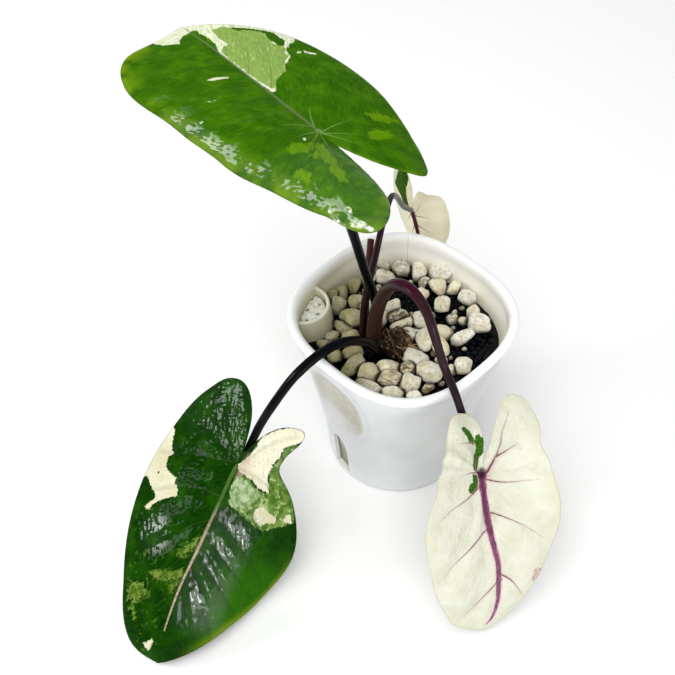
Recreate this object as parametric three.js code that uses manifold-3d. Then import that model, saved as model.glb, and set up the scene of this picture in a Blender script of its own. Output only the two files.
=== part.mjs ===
// Potted black-stalked alocasia in a white 100 mm cup, in millimetres.
// The cup stands on the floor at the origin with its corners along X and Y; the front is -Y, up is +Z.
import * as THREE from 'three';
import Module from 'manifold-3d';

const wasm = await Module();
wasm.setup();

// The cup: a rounded square rim that narrows to a round base
const CUP_HEIGHT = 100;
const RIM_HALF = 50;
const BASE_HALF = 35;
const FLARE = 1.35;
const RIM_SQUARENESS = 0.74;
const WALL = 2.2;
const FLOOR_THICK = 3;
const CUP_SIDES = 48;

// The water shaft inside the left corner and its perforated liner
const SHAFT_RADIUS = 13.3;
const SHAFT_WALL = 1.8;
const SHAFT_TOP = 94;
const SHAFT_TURN = 167;
const LINER_TOP = 91;
const LINER_HOLES = [[-45.6, 3.6], [-40.4, 7.4], [-45.4, 10.4], [-39.6, 13.8], [-43.6, 17.2]];

// The pressed-in grip and the slot below it, on the left of the front
const GRIP = { turn: -137, height: 68, radius: 60, tall: 1.07, depth: 3.2 };
const SLOT = { turn: -143.5, low: 3.6, spring: 22, top: 33, half_wide: 5.3 };

// The filling
const BED_TOP = 82;
const GAP = 0.3;
const GRANULE = 1.35;
const GRANULE_STEP = 3;

// Pumice pebbles: middle x, middle y, half length, half width, turn in degrees
const PEBBLE_SIZE = 1.14;
const PEBBLES = [
  [-8, 46, 3.8, 3.4, 0], [1, 42, 5, 4.8, 20], [9.5, 40.5, 4.6, 4.4, 60], [21, 41, 6.2, 5, -10],
  [-7, 37, 5, 4, 10], [-23, 31, 4.2, 3.6, 70], [-28.6, 26.6, 3.8, 3, 80], [-33.6, 25.2, 3.2, 3, 0],
  [-31, 17.6, 4.2, 3.8, 30], [-22.6, 19.6, 4.6, 3.4, -15], [-24.4, 9.4, 5.6, 5.2, -40],
  [18.4, 29.6, 4.8, 4.2, -10], [26.6, 30, 4.4, 3.6, 60], [33, 22.6, 4.6, 4.2, 40],
  [20.4, 17.4, 5.6, 4.4, 75], [35.4, 13.2, 4.4, 3.2, 60], [37.6, 5.4, 6, 4.6, -10],
  [20, 0.2, 5, 3.8, 10], [28.6, -2.8, 5.8, 3.2, 25], [-28, 3.6, 5.2, 2.8, -50],
  [-33.6, -2.4, 3.8, 2.8, 20], [-38, -6.8, 3, 2.2, 20], [-24.6, -3.2, 4.6, 3.4, 0],
  [-32.4, -8.2, 3.2, 2.6, -10], [-4.2, 16.2, 4.8, 3.8, 0], [-1.6, 10.8, 5.2, 3.4, 15],
  [1, 5.4, 5.8, 3, 30], [4.2, -0.6, 4.6, 3.8, -20], [10, 24.6, 4, 3.6, 20], [10.2, 7.4, 4.8, 4.6, 0],
  [11, -5.6, 5.2, 5, 50], [18, -9.8, 4.8, 4, -60], [6, -16.2, 5.6, 4.6, -25], [-7.4, -21.8, 6.2, 3.8, 5],
  [1.4, -23.2, 4.4, 3.8, 30], [12, -26, 6.2, 5.2, -10], [2.8, -31.4, 5, 4.6, 0], [-6.6, -28.8, 6.2, 4, 0],
  [-17, -25.6, 5.2, 4.6, 0], [-24, -20.6, 7, 3.8, 30], [-23.6, -12.6, 5, 3.2, 0],
  [-31.8, -15.2, 3.8, 3.2, -30], [-17.6, -33.2, 6.6, 3.2, -30], [-5.4, -36.8, 5.4, 3.2, 0],
  [4.4, -38.6, 3.6, 2.6, 0], [28, -20.6, 4.6, 3.8, 15], [11, -33.6, 3.2, 2.4, 20],
  [-9, 9.6, 4.2, 2.4, 80], [17.6, -17, 3, 2.4, 0], [22.4, -22.4, 2.8, 2.2, 0], [24.6, 9.4, 2.8, 2.2, 0],
  [12.6, 33.6, 3.2, 2.8, 0], [-14.6, 26.2, 4.6, 3.6, 20], [-15.4, 16.4, 4.2, 3.6, 0],
  [-16, 36, 4.2, 3.6, -20], [30.4, 8.4, 2.8, 2, 0],
].map(([x, y, length, width, turn]) => [x, y, length * PEBBLE_SIZE, width * PEBBLE_SIZE, turn]);

const OVERLAP = 1.2;
const CHIP_SPAN = 2.6;
const CHIP_WIDE = 3;
const CHIP_TALL = 1.8;
const CROWN_SPOTS = [[-3, -5, 6], [-11, -6, 7], [-17, 1, 4], [-17, 6, 3]];

// The corm: lumps as middle x, y, z and radii
const CORM_LUMPS = [
  [-3.4, -5, 84, 6, 5.6, 6.4], [-8.4, -3.4, 82.8, 4.8, 5, 3.8], [-0.4, -8.6, 83, 3.6, 3.6, 4],
];
const ROOT_RADIUS = 0.55;
const ROOTS = [
  [[-5, -4, 89.9], [-0.4, -6.4, 89.6], [2.6, -10.2, 86], [3, -12.4, 82.9]],
  [[-4, -2, 89.4], [1.6, -3, 88.6], [4.4, -6.4, 85.4], [5, -9.4, 82.9]],
  [[-6, -6, 89.6], [-4.4, -10, 88], [-3.8, -12.8, 82.9]],
  [[-2, -4, 90.2], [-2.6, 0.6, 88.4], [-4, 3, 83]],
];

// Leaf stalks: the middle line as points, and the thickness from the crown to the blade
const STALKS = {
  top_petiole: {
    path: [[-12.5, 0.6, 76], [-12.5, 0.5, 92], [-13.4, -0.1, 108], [-19.1, -3.5, 133], [-24.8, -7, 160],
      [-32, -11.4, 192], [-37.4, -14.6, 213], [-38.7, -15.4, 218.2]],
    radii: [2.7, 2.2, 2.2, 2], sides: 8, steps: 12, colour: '#15131a',
  },
  right_petiole: {
    path: [[-13.6, -7, 77], [-13.8, -6.7, 94], [-13.2, -7.5, 106], [-11.3, -10.1, 119], [-8.6, -13.7, 130],
      [-5, -18.5, 138], [-0.6, -24.4, 142], [3.9, -30.4, 141.5], [7.7, -35.6, 137], [11.5, -40.7, 126.7],
      [15.4, -44.8, 114.6], [20.6, -51.4, 104], [24.4, -57, 94.4], [27.6, -63, 85.6], [30.4, -69.6, 77.8],
      [31.9, -73.1, 74.7]],
    radii: [3.6, 3.3, 3, 2.5, 2.1, 2, 1.9], groove: 0.2, sides: 8, steps: 26, colour: '#3a1f28',
  },
  left_petiole: {
    path: [[-9.4, -12.8, 77], [-10.2, -13.2, 84], [-13.2, -15.2, 91.4], [-18.3, -18.3, 99.5],
      [-25.3, -24, 106.7], [-32.1, -29.6, 110.4], [-38.4, -34.7, 110.6], [-43.4, -38.4, 109],
      [-47.9, -41.6, 106.4], [-52.6, -44.2, 101.6], [-60.6, -48.8, 90.2], [-66.3, -51.6, 80],
      [-70.2, -55.6, 72.8], [-73.3, -60, 68.6], [-75.4, -63.4, 66.5]],
    radii: [2.8, 2.3, 2.3, 2.2, 2, 1.8], sides: 8, steps: 24, colour: '#14141a',
  },
  back_petiole: {
    path: [[-18.8, -0.4, 77], [-18.8, -0.2, 88], [-18.1, 1.4, 106], [-15, 9.5, 118.4], [-12.7, 15.2, 126.4],
      [-11, 19.6, 134], [-8.7, 25.4, 141], [-6.2, 32, 143.6], [-3.2, 39.3, 136.6], [0.8, 49.4, 121.6],
      [4.5, 58.2, 111.4], [6.3, 62.8, 106.5]],
    radii: [2, 1.7, 1.5, 1.4, 1.3], sides: 6, steps: 22, colour: '#3b222b',
  },
  cut_petiole: {
    path: [[-17.6, 6, 77], [-17.7, 6, 90], [-17.5, 7.2, 101], [-16.7, 12.4, 113], [-15.4, 21.6, 126.6]],
    radii: [2, 1.7, 1.6], sides: 6, steps: 5, colour: '#4a2a30',
  },
};

// Leaf blades. The reach runs from the stalk's joint to the edge, at these bearings off the tip
const BEARINGS = [0, 10, 22, 38, 58, 80, 102, 124, 142, 155, 165, 173];
const COLUMNS = [
  0, 5, 10, 15, 20, 26, 33, 42, 52, 64, 78, 92, 106, 120, 131, 140, 148, 155, 162, 168, 173, 177,
];
const BLADE_THICK = 0.8;
const RIB = 0.7;
const BLADES = {
  top_blade: {
    at: [-38.5, -15.3, 220], heading: -38, pitch: -2.5, roll: 20, width: 40, notch: 9, notch_turn: 0,
    tip_bend: 9, lobe_bend: -6, twist: 19, sweep: 0.08,
    fold_right: [-14, -14, 3], fold_left: [-14, -14, -10], curl_right: [38, 24, 10], curl_left: [61, 28, 6],
    right: [109, 100, 90, 75.5, 63, 48, 43.5, 44, 45, 43.5, 31, 15],
    left: [109, 101, 98, 82, 60, 52, 51, 52, 62, 80, 63, 31],
    quilt: 0.35, veins: 7, wave: 0.5, rings: [0.22, 0.45, 0.67, 0.86, 1], colour: '#2f6b22',
  },
  right_blade: {
    at: [32.6, -75, 76.4], heading: 157.4, pitch: -50, roll: -11.3, width: 32, notch: 3, notch_turn: 24,
    tip_bend: 38, lobe_bend: -11.5, twist: -7.4, sweep: 0.08,
    fold_right: [-8, -11, -1], fold_left: [18, -28, -13], curl_right: [1, 6, 13], curl_left: [-28, -28, 12],
    right: [83, 77.5, 64, 50, 40, 27.5, 23.2, 24.2, 31.4, 28.7, 24.6, 17.3],
    left: [83, 75, 60, 48.5, 39.8, 34.4, 31, 30.8, 36.2, 38.6, 33, 13],
    quilt: 0.3, veins: 6, wave: 0.4, rings: [0.22, 0.45, 0.67, 0.86, 1], colour: '#e9e4c4',
  },
  left_blade: {
    at: [-76.4, -65.8, 70], heading: 214.9, pitch: -30, roll: -7, width: 38, notch: 6, notch_turn: 0,
    tip_bend: 30, lobe_bend: 1.6, twist: 0.6, sweep: -0.09,
    fold_right: [-4, 10.5, -7], fold_left: [10, 40, 17], curl_right: [28, 17, 37], curl_left: [30, 5, 63],
    right: [100.6, 99, 79, 64, 53, 45, 42.5, 40.7, 40.6, 36, 24, 7.6],
    left: [100.6, 91, 82.5, 77, 61.5, 38.5, 22, 23, 33.5, 28, 18.6, 7.6],
    quilt: 0.7, veins: 7, wave: 0.5, rings: [0.22, 0.45, 0.67, 0.86, 1], colour: '#1f4d24',
  },
  back_blade: {
    at: [6.5, 64, 104.5], heading: 137.5, pitch: -70.7, roll: 38.5, width: 18, notch: 4, notch_turn: 17,
    tip_bend: 6, lobe_bend: -20, twist: -2.5, sweep: -0.04,
    fold_right: [55.6, 57.4, 57.8], fold_left: [-13, 5, 3], curl_right: [26, 14, 23], curl_left: [10, 14, 16],
    right: [33, 32, 26.7, 19.8, 16.6, 15.5, 16.6, 18.3, 22, 25.5, 28.5, 16],
    left: [33, 31.5, 28.3, 25.6, 22, 18.8, 16.8, 14.1, 12, 12.1, 12.2, 11.6],
    quilt: 0.15, veins: 4, wave: 0.2, rings: [0.4, 0.75, 1], colour: '#e4dcbc',
  },
};

const rad = (deg) => deg * Math.PI / 180;
const add = (a, b, k = 1) => [a[0] + b[0] * k, a[1] + b[1] * k, a[2] + b[2] * k];
const dot = (a, b) => a[0] * b[0] + a[1] * b[1] + a[2] * b[2];
const cross = (a, b) => [a[1] * b[2] - a[2] * b[1], a[2] * b[0] - a[0] * b[2], a[0] * b[1] - a[1] * b[0]];
const unit = (a) => {
  const size = Math.hypot(...a);
  return a.map((v) => v / size);
};

// A repeatable scatter of numbers between 0 and 1
function scatter(seed) {
  let state = seed;
  return () => {
    state = (state * 16807) % 2147483647;
    return state / 2147483647;
  };
}

// Smooth curve through uneven knots
function through(x, xs, ys) {
  const last = xs.length - 1;
  let i = 0;
  while (i < last - 1 && x >= xs[i + 1]) i += 1;
  const slope = (k) => {
    const a = Math.max(0, k - 1);
    const b = Math.min(last, k + 1);
    return (ys[b] - ys[a]) / (xs[b] - xs[a]);
  };
  const h = xs[i + 1] - xs[i];
  const t = (x - xs[i]) / h;
  const t2 = t * t;
  const t3 = t2 * t;
  return (2 * t3 - 3 * t2 + 1) * ys[i] + (t3 - 2 * t2 + t) * h * slope(i)
    + (3 * t2 - 2 * t3) * ys[i + 1] + (t3 - t2) * h * slope(i + 1);
}

function solid(points, triangles) {
  return new wasm.Manifold(new wasm.Mesh({
    numProp: 3,
    vertProperties: Float32Array.from(points.flat()),
    triVerts: Uint32Array.from(triangles.flat()),
  }));
}

// Closed body through rings of points that run counterclockwise seen from the last ring
function stacked(rings) {
  const n = rings[0].length;
  const triangles = [];
  for (let k = 0; k < rings.length - 1; k += 1) {
    for (let i = 0; i < n; i += 1) {
      const j = (i + 1) % n;
      const a = k * n + i;
      const b = k * n + j;
      triangles.push([a, b, b + n], [a, b + n, a + n]);
    }
  }
  const top = (rings.length - 1) * n;
  for (let i = 1; i < n - 1; i += 1) {
    triangles.push([0, i + 1, i], [top, top + i, top + i + 1]);
  }
  return solid(rings.flat(), triangles);
}

const united = (bodies) => wasm.Manifold.union(bodies);

// The cup's outline at a height: between a circle at the base and a rounded square at the rim
function halfWidth(z) {
  return BASE_HALF + (RIM_HALF - BASE_HALF) * (Math.min(z, CUP_HEIGHT) / CUP_HEIGHT) ** FLARE;
}

function cupRing(z, inset) {
  const power = 2 + RIM_SQUARENESS * (Math.min(z, CUP_HEIGHT) / CUP_HEIGHT) ** 2;
  const half = halfWidth(z) - inset;
  const ring = [];
  for (let i = 0; i < CUP_SIDES; i += 1) {
    const turn = 2 * Math.PI * i / CUP_SIDES;
    const u = Math.abs(Math.cos(turn - Math.PI / 4));
    const v = Math.abs(Math.sin(turn - Math.PI / 4));
    const reach = half / (u ** power + v ** power) ** (1 / power);
    ring.push([reach * Math.cos(turn), reach * Math.sin(turn), z]);
  }
  return ring;
}

const cupBody = (stations) => stacked(stations.map(([z, inset]) => cupRing(z, inset)));

// The water shaft follows the slope of the wall
function shaftBody(low, high, shrink) {
  const stations = [low, 20, 40, 60, 76, high];
  const rings = stations.map((z) => {
    const reach = halfWidth(z) + 0.5;
    const radius = SHAFT_RADIUS * (0.75 + 0.25 * z / SHAFT_TOP) - shrink;
    const ring = [];
    for (let i = 0; i < 24; i += 1) {
      const turn = rad(15 * i);
      ring.push([
        reach * Math.cos(rad(SHAFT_TURN)) + radius * Math.cos(turn),
        reach * Math.sin(rad(SHAFT_TURN)) + radius * Math.sin(turn),
        z,
      ]);
    }
    return ring;
  });
  return stacked(rings);
}

function gripBody(grow) {
  const reach = halfWidth(GRIP.height) + GRIP.radius - GRIP.depth;
  return wasm.Manifold.sphere(GRIP.radius + grow, 64)
    .scale([1, 1, GRIP.tall])
    .translate([reach * Math.cos(rad(GRIP.turn)), reach * Math.sin(rad(GRIP.turn)), GRIP.height]);
}

function makeCup() {
  const outside = cupBody([
    [0, 1.4], [1.6, 0], [20, 0], [40, 0], [60, 0], [76, 0], [94.6, 0.6],
    [95.6, -0.5], [98.9, -0.3], [100, 0.9],
  ]);
  const hollow = cupBody([
    [FLOOR_THICK, WALL], [20, WALL], [40, WALL], [60, WALL], [76, WALL + 0.1], [90, WALL + 0.4],
    [96, WALL + 1.5], [99, WALL + 1.6], [100, WALL + 0.7], [101, WALL + 0.7],
  ]).subtract(gripBody(WALL));
  const partition = shaftBody(FLOOR_THICK - 1, SHAFT_TOP, 0)
    .subtract(shaftBody(FLOOR_THICK - 2, SHAFT_TOP + 1, SHAFT_WALL))
    .intersect(cupBody([[1, 1.2], [20, 1.2], [40, 1.2], [60, 1.2], [76, 1.2], [SHAFT_TOP, 1.4]]));
  // the slot is an arch: straight sides below, half an ellipse above
  const arch = wasm.Manifold.cylinder(26, 1, 1, 20)
    .scale([SLOT.top - SLOT.spring, SLOT.half_wide, 1])
    .rotate([0, 90, 0])
    .translate([20, 0, SLOT.spring]);
  const straight = wasm.Manifold.cube([26, 2 * SLOT.half_wide, SLOT.spring - SLOT.low])
    .translate([20, -SLOT.half_wide, SLOT.low]);
  const slot = united([arch, straight]).rotate([0, 0, SLOT.turn]);
  return united([outside.subtract(gripBody(0)).subtract(hollow), partition]).subtract(slot);
}

function makeLiner() {
  const inset = WALL + GAP + 0.05;
  const column = shaftBody(FLOOR_THICK + GAP, LINER_TOP, SHAFT_WALL + GAP).intersect(cupBody([
    [FLOOR_THICK + GAP, inset], [20, inset], [40, inset], [60, inset], [76, inset + 0.1],
    [90, inset + 0.45], [LINER_TOP + 1, inset + 0.75],
  ]));
  const holes = LINER_HOLES.map(([x, y]) => wasm.Manifold.cylinder(4, 0.7, 1.1, 8)
    .translate([x, y, LINER_TOP - 2.6]));
  return column.subtract(united(holes));
}

// Leaf stalks: tapered tubes along a smooth line, the crown end sunk in the bed
function stalkPoint(path, t) {
  const xs = path.map((_, i) => i);
  return [0, 1, 2].map((axis) => through(t * (path.length - 1), xs, path.map((p) => p[axis])));
}

function stalkBody({ path, radii, sides, steps, groove = 0 }, grow = 0) {
  const rings = [];
  let side = [1, 0, 0];
  for (let k = 0; k <= steps; k += 1) {
    const t = k / steps;
    const before = stalkPoint(path, Math.max(0, t - 0.004));
    const after = stalkPoint(path, Math.min(1, t + 0.004));
    const along = unit(add(after, before, -1));
    side = unit(add(side, along, -dot(side, along)));
    const over = cross(along, side);
    let centre = stalkPoint(path, t);
    if (grow > 0 && k === 0) centre = add(centre, along, -grow);
    if (grow > 0 && k === steps) centre = add(centre, along, grow);
    const radius = through(t * (radii.length - 1), radii.map((_, i) => i), radii) + grow;
    const ring = [];
    for (let i = 0; i < sides; i += 1) {
      const turn = 2 * Math.PI * (i + 0.5) / sides;
      const dip = groove > 0 && i === 0 ? 1 - groove * (1 - t) : 1;
      const reach = grow > 0 ? radius : radius * dip;
      ring.push(add(add(centre, side, reach * Math.cos(turn)), over, reach * Math.sin(turn)));
    }
    rings.push(ring);
  }
  return stacked(rings);
}

function lump([x, y, z, rx, ry, rz], grow = 0) {
  return wasm.Manifold.sphere(1, 10).scale([rx + grow, ry + grow, rz + grow]).translate([x, y, z]);
}

const rootBody = (path, grow) => stalkBody({
  path, radii: [ROOT_RADIUS, ROOT_RADIUS * 0.8], sides: 5, steps: 4,
}, grow);

function cormBody(grow) {
  const roots = ROOTS.map((path) => rootBody(path, grow));
  return united([...CORM_LUMPS.map((item) => lump(item, grow)), ...roots]);
}

const aboveBed = (body) => body.trimByPlane([0, 0, 1], BED_TOP + GAP);
const sockets = united(Object.values(STALKS).map((stalk) => stalkBody(stalk, GAP + 0.1)));
const makeCorm = () => aboveBed(cormBody(0)).subtract(sockets);

// One pebble: three uneven rings and a crown, flat where it rests on the bed
function pebble([x, y, length, width, turn], random) {
  const height = 0.85 * width + 1.2;
  const levels = [[0, 0.9], [0.42, 1], [0.82, 0.7]];
  const c = Math.cos(rad(turn));
  const s = Math.sin(rad(turn));
  const phase = random();
  const uneven = [0, 1, 2, 3, 4, 5, 6].map(() => 0.94 + 0.12 * random());
  const rings = levels.map(([level, size]) => uneven.map((k, i) => {
    const bearing = 2 * Math.PI * (i + phase) / 7;
    const u = length * size * k * Math.cos(bearing);
    const v = width * size * k * Math.sin(bearing);
    return [x + u * c - v * s, y + u * s + v * c, BED_TOP + GAP + height * 1.45 * level];
  }));
  const lean = 0.2 * width * (random() - 0.5);
  const crown = [x + lean, y - lean, BED_TOP + GAP + height * 1.45];
  const points = [...rings.flat(), crown];
  const triangles = [];
  for (let k = 0; k < 2; k += 1) {
    for (let i = 0; i < 7; i += 1) {
      const a = k * 7 + i;
      const b = k * 7 + (i + 1) % 7;
      triangles.push([a, b, b + 7], [a, b + 7, a + 7]);
    }
  }
  for (let i = 0; i < 7; i += 1) {
    triangles.push([14 + i, 14 + (i + 1) % 7, 21]);
  }
  for (let i = 1; i < 6; i += 1) {
    triangles.push([0, i + 1, i]);
  }
  return solid(points, triangles);
}

// Pebbles that lie close together hang together, by a low chip of pumice between each two
const pebbleReach = ([, , length, width, turn], bearing) => {
  const off = bearing - rad(turn);
  return 1 / Math.hypot(Math.cos(off) / length, Math.sin(off) / width);
};

function joinPebbles() {
  const pairs = [];
  PEBBLES.forEach((one, i) => PEBBLES.slice(i + 1).forEach((other, k) => {
    const bearing = Math.atan2(other[1] - one[1], other[0] - one[0]);
    const apart = Math.hypot(other[0] - one[0], other[1] - one[1]);
    const gap = apart - pebbleReach(one, bearing) - pebbleReach(other, bearing);
    const middle = [(one[0] + other[0]) / 2, (one[1] + other[1]) / 2];
    const free = CROWN_SPOTS.every(([x, y, r]) => Math.hypot(middle[0] - x, middle[1] - y) > r);
    if (gap < CHIP_SPAN && free) pairs.push({ i, j: i + 1 + k, gap, bearing, apart, middle });
  }));
  pairs.sort((one, other) => one.gap - other.gap);
  const group = PEBBLES.map((_, i) => i);
  const chips = [];
  for (const pair of pairs) {
    const kept = group[pair.i];
    const gone = group[pair.j];
    if (kept !== gone) {
      if (pair.gap > -OVERLAP) chips.push(pair);
      for (let k = 0; k < group.length; k += 1) {
        if (group[k] === gone) group[k] = kept;
      }
    }
  }
  return chips;
}

const CHIPS = joinPebbles();

function chip({ bearing, apart, middle }) {
  const ends = [-0.4 * apart, 0.4 * apart];
  const rings = ends.map((x) => [[x, -CHIP_WIDE / 2, 0], [x, CHIP_WIDE / 2, 0], [x, 0, CHIP_TALL]]);
  return stacked(rings)
    .rotate([0, 0, bearing * 180 / Math.PI])
    .translate([middle[0], middle[1], BED_TOP + GAP]);
}

function makePebbles() {
  const random = scatter(71);
  const room = cupBody([[BED_TOP, WALL + 0.6], [90, WALL + 0.8], [95.5, WALL + 1.9]]);
  return united([...PEBBLES.map((item) => pebble(item, random)), ...CHIPS.map(chip)])
    .intersect(room)
    .subtract(gripBody(WALL + GAP + 0.1))
    .subtract(sockets)
    .subtract(cormBody(GAP + 0.15))
    .subtract(shaftBody(60, SHAFT_TOP + 1, -GAP - 0.1))
    .simplify(0.12);
}

// The bed: fine black granules, standing out where no pebble covers them
function clearOfPebbles(x, y) {
  return PEBBLES.every(([px, py, length, width, turn]) => {
    const c = Math.cos(rad(turn));
    const s = Math.sin(rad(turn));
    const u = ((x - px) * c + (y - py) * s) / (length + GRANULE + 0.3);
    const v = ((y - py) * c - (x - px) * s) / (width + GRANULE + 0.3);
    return u * u + v * v > 1.04;
  }) && CHIPS.every(({ bearing, apart, middle }) => {
    const u = (x - middle[0]) * Math.cos(bearing) + (y - middle[1]) * Math.sin(bearing);
    const v = (y - middle[1]) * Math.cos(bearing) - (x - middle[0]) * Math.sin(bearing);
    return Math.abs(u) > apart / 2 || Math.abs(v) > CHIP_WIDE / 2 + GRANULE + 0.4;
  });
}

function makeBed() {
  const inset = WALL + GAP + 0.05;
  const mass = cupBody([
    [FLOOR_THICK + GAP, inset], [20, inset], [40, inset], [60, inset], [76, inset + 0.1],
    [BED_TOP, inset + 0.3],
  ]).subtract(gripBody(WALL + GAP + 0.1));
  const random = scatter(17);
  const grains = [];
  for (let row = 0; row < 30; row += 1) {
    for (let column = 0; column < 20; column += 1) {
      const x = 6 + GRANULE_STEP * (column + 0.5 * (row % 2)) + 0.5 * (random() - 0.5);
      const y = -40 + GRANULE_STEP * 0.87 * row + 0.5 * (random() - 0.5);
      const turn = 90 * random();
      if (Math.abs(x) + Math.abs(y) < 56 && Math.hypot(x, y) < 42 && clearOfPebbles(x, y)) {
        grains.push(wasm.Manifold.sphere(GRANULE, 4).rotate([0, 0, turn]).translate([x, y, BED_TOP - 0.2]));
      }
    }
  }
  return united([mass, ...grains])
    .subtract(shaftBody(FLOOR_THICK - 1, BED_TOP + 4, -GAP - 0.1))
    .subtract(sockets);
}

// Leaf blades
function reachAt(blade, bearing) {
  const right = bearing >= 0;
  const full = right ? 180 + blade.notch_turn : 180 - blade.notch_turn;
  const knots = right ? blade.right : blade.left;
  return through(Math.abs(bearing) * 180 / full, [...BEARINGS, 180], [...knots, blade.notch]);
}

// A value given at the lobes, at the stalk and at the tip, eased between them
function eased([lobe, middle, tip], place) {
  const k = Math.max(-0.45, Math.min(1, place));
  const f = k >= 0 ? k : k / -0.45;
  return middle + (k >= 0 ? tip - middle : lobe - middle) * f * f * (3 - 2 * f);
}

function bladeFrame(blade) {
  const h = rad(blade.heading);
  const p = rad(blade.pitch);
  const r = rad(blade.roll);
  const ahead = [Math.sin(h) * Math.cos(p), Math.cos(h) * Math.cos(p), Math.sin(p)];
  const level = [Math.cos(h), -Math.sin(h), 0];
  const across = level.map((v, i) => v * Math.cos(r) - cross(level, ahead)[i] * Math.sin(r));
  return [ahead, across, cross(across, ahead)];
}

// The middle skin: the midrib is an arc in the blade's upright plane, each half an arc across it
function bladePoint(blade, s, t, lift = 0) {
  const length = blade.right[0];
  const bend = (place) => (place >= 0
    ? rad(blade.tip_bend) * place ** 1.8
    : rad(blade.lobe_bend) * place);
  let ahead = 0;
  let down = 0;
  for (let i = 0; i < 16; i += 1) {
    const slope = bend(s / length * (i + 0.5) / 16);
    ahead += Math.cos(slope) * s / 16;
    down -= Math.sin(slope) * s / 16;
  }
  const slope = bend(s / length);
  const right = t >= 0;
  const fold = rad(eased(right ? blade.fold_right : blade.fold_left, s / length));
  const curl = rad(eased(right ? blade.curl_right : blade.curl_left, s / length)) + 1e-4;
  const far = fold + curl * Math.abs(t) / blade.width;
  const out = blade.width / curl * (Math.sin(far) - Math.sin(fold)) * (right ? 1 : -1);
  const up = blade.width / curl * (Math.cos(far) - Math.cos(fold)) + lift;
  const twist = rad(blade.twist) * s / length;
  const sideways = out * Math.cos(twist) - up * Math.sin(twist)
    + (s > 0 ? blade.sweep * s * s / length : 0);
  const above = out * Math.sin(twist) + up * Math.cos(twist);
  const [a, b, n] = bladeFrame(blade);
  const forward = ahead + above * Math.sin(slope);
  const upward = down + above * Math.cos(slope);
  return add(add(add(blade.at, a, forward), b, sideways), n, upward);
}

function makeBlade(blade) {
  const back = COLUMNS.slice(1).reverse();
  const bearings = [180, ...back, ...COLUMNS.map((v) => -v)].map((v) => (v >= 0
    ? v * (180 + blade.notch_turn) / 180
    : v * (180 - blade.notch_turn) / 180));
  const length = blade.right[0];
  const flat = (bearing, rho) => {
    const reach = reachAt(blade, bearing) * rho;
    return [reach * Math.cos(rad(bearing)), reach * Math.sin(rad(bearing))];
  };
  // the skin sinks along the side veins, and the edge waves a little
  const relief = (bearing, rho) => {
    const away = Math.abs(Math.sin(rad(bearing)));
    const between = Math.cos(2 * Math.PI * blade.veins * bearing / 360);
    const sink = -blade.quilt * between * Math.sin(Math.PI * rho) * away;
    const wave = blade.wave * Math.sin(rad(bearing * 5 + 40)) * rho ** 4 * away;
    return sink + wave;
  };
  const middle = (bearing, rho) => {
    const [s, t] = flat(bearing, rho);
    return bladePoint(blade, s, t, relief(bearing, rho));
  };
  const skins = [[], []];
  const place = (bearing, rho) => {
    const [s, t] = flat(bearing, rho);
    const h = 0.4;
    const along = add(bladePoint(blade, s + h, t), bladePoint(blade, s - h, t), -1);
    const over = add(bladePoint(blade, s, t + h), bladePoint(blade, s, t - h), -1);
    const normal = unit(cross(over, along));
    const point = middle(bearing, rho);
    // a rib runs under the midrib from the stalk to near the tip
    const swell = Math.sin(Math.PI * Math.min(1, rho + 0.05)) * (1 - 0.5 * s / length);
    const rib = bearing === 0 ? RIB * swell : 0;
    skins[0].push(add(point, normal, BLADE_THICK / 2));
    skins[1].push(add(point, normal, -BLADE_THICK / 2 - rib));
  };
  place(0, 0);
  for (const rho of blade.rings) {
    for (const bearing of bearings) place(bearing, rho);
  }
  const n = bearings.length;
  const size = skins[0].length;
  const triangles = [];
  const both = (a, b, c) => triangles.push([a, b, c], [a + size, c + size, b + size]);
  for (let i = 0; i < n; i += 1) {
    both(0, 1 + i, 1 + (i + 1) % n);
  }
  for (let k = 0; k < blade.rings.length - 1; k += 1) {
    for (let i = 0; i < n; i += 1) {
      const a = 1 + k * n + i;
      const b = 1 + k * n + (i + 1) % n;
      both(a, a + n, b + n);
      both(a, b + n, b);
    }
  }
  const edge = 1 + (blade.rings.length - 1) * n;
  for (let i = 0; i < n; i += 1) {
    const a = edge + i;
    const b = edge + (i + 1) % n;
    triangles.push([a, a + size, b + size], [a, b + size, b]);
  }
  return solid([...skins[0], ...skins[1]], triangles);
}

const plant = new THREE.Group();
plant.name = 'potted_alocasia';

function put(name, body, colour, roughness = 0.6) {
  const mesh = body.getMesh();
  const geometry = new THREE.BufferGeometry();
  const positions = new Float32Array(mesh.numVert * 3);
  for (let i = 0; i < mesh.numVert; i += 1) {
    for (let axis = 0; axis < 3; axis += 1) {
      positions[3 * i + axis] = mesh.vertProperties[mesh.numProp * i + axis];
    }
  }
  geometry.setAttribute('position', new THREE.BufferAttribute(positions, 3));
  geometry.setIndex(new THREE.BufferAttribute(Uint32Array.from(mesh.triVerts), 1));
  geometry.computeVertexNormals();
  const material = new THREE.MeshStandardMaterial({ color: colour, roughness });
  const node = new THREE.Mesh(geometry, material);
  node.name = name;
  plant.add(node);
}

put('pot', makeCup(), '#e9e8e2', 0.35);
put('shaft_liner', makeLiner(), '#e6e4da', 0.5);
put('granule_bed', makeBed(), '#17171b', 0.5);
put('pumice_pebbles', makePebbles(), '#d9d0b8', 0.9);
put('corm', makeCorm(), '#5b4029', 0.9);
for (const [name, stalk] of Object.entries(STALKS)) {
  put(name, stalkBody(stalk), stalk.colour, 0.35);
}
for (const [name, blade] of Object.entries(BLADES)) {
  put(name, makeBlade(blade), blade.colour, 0.4);
}

export default plant;
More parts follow.
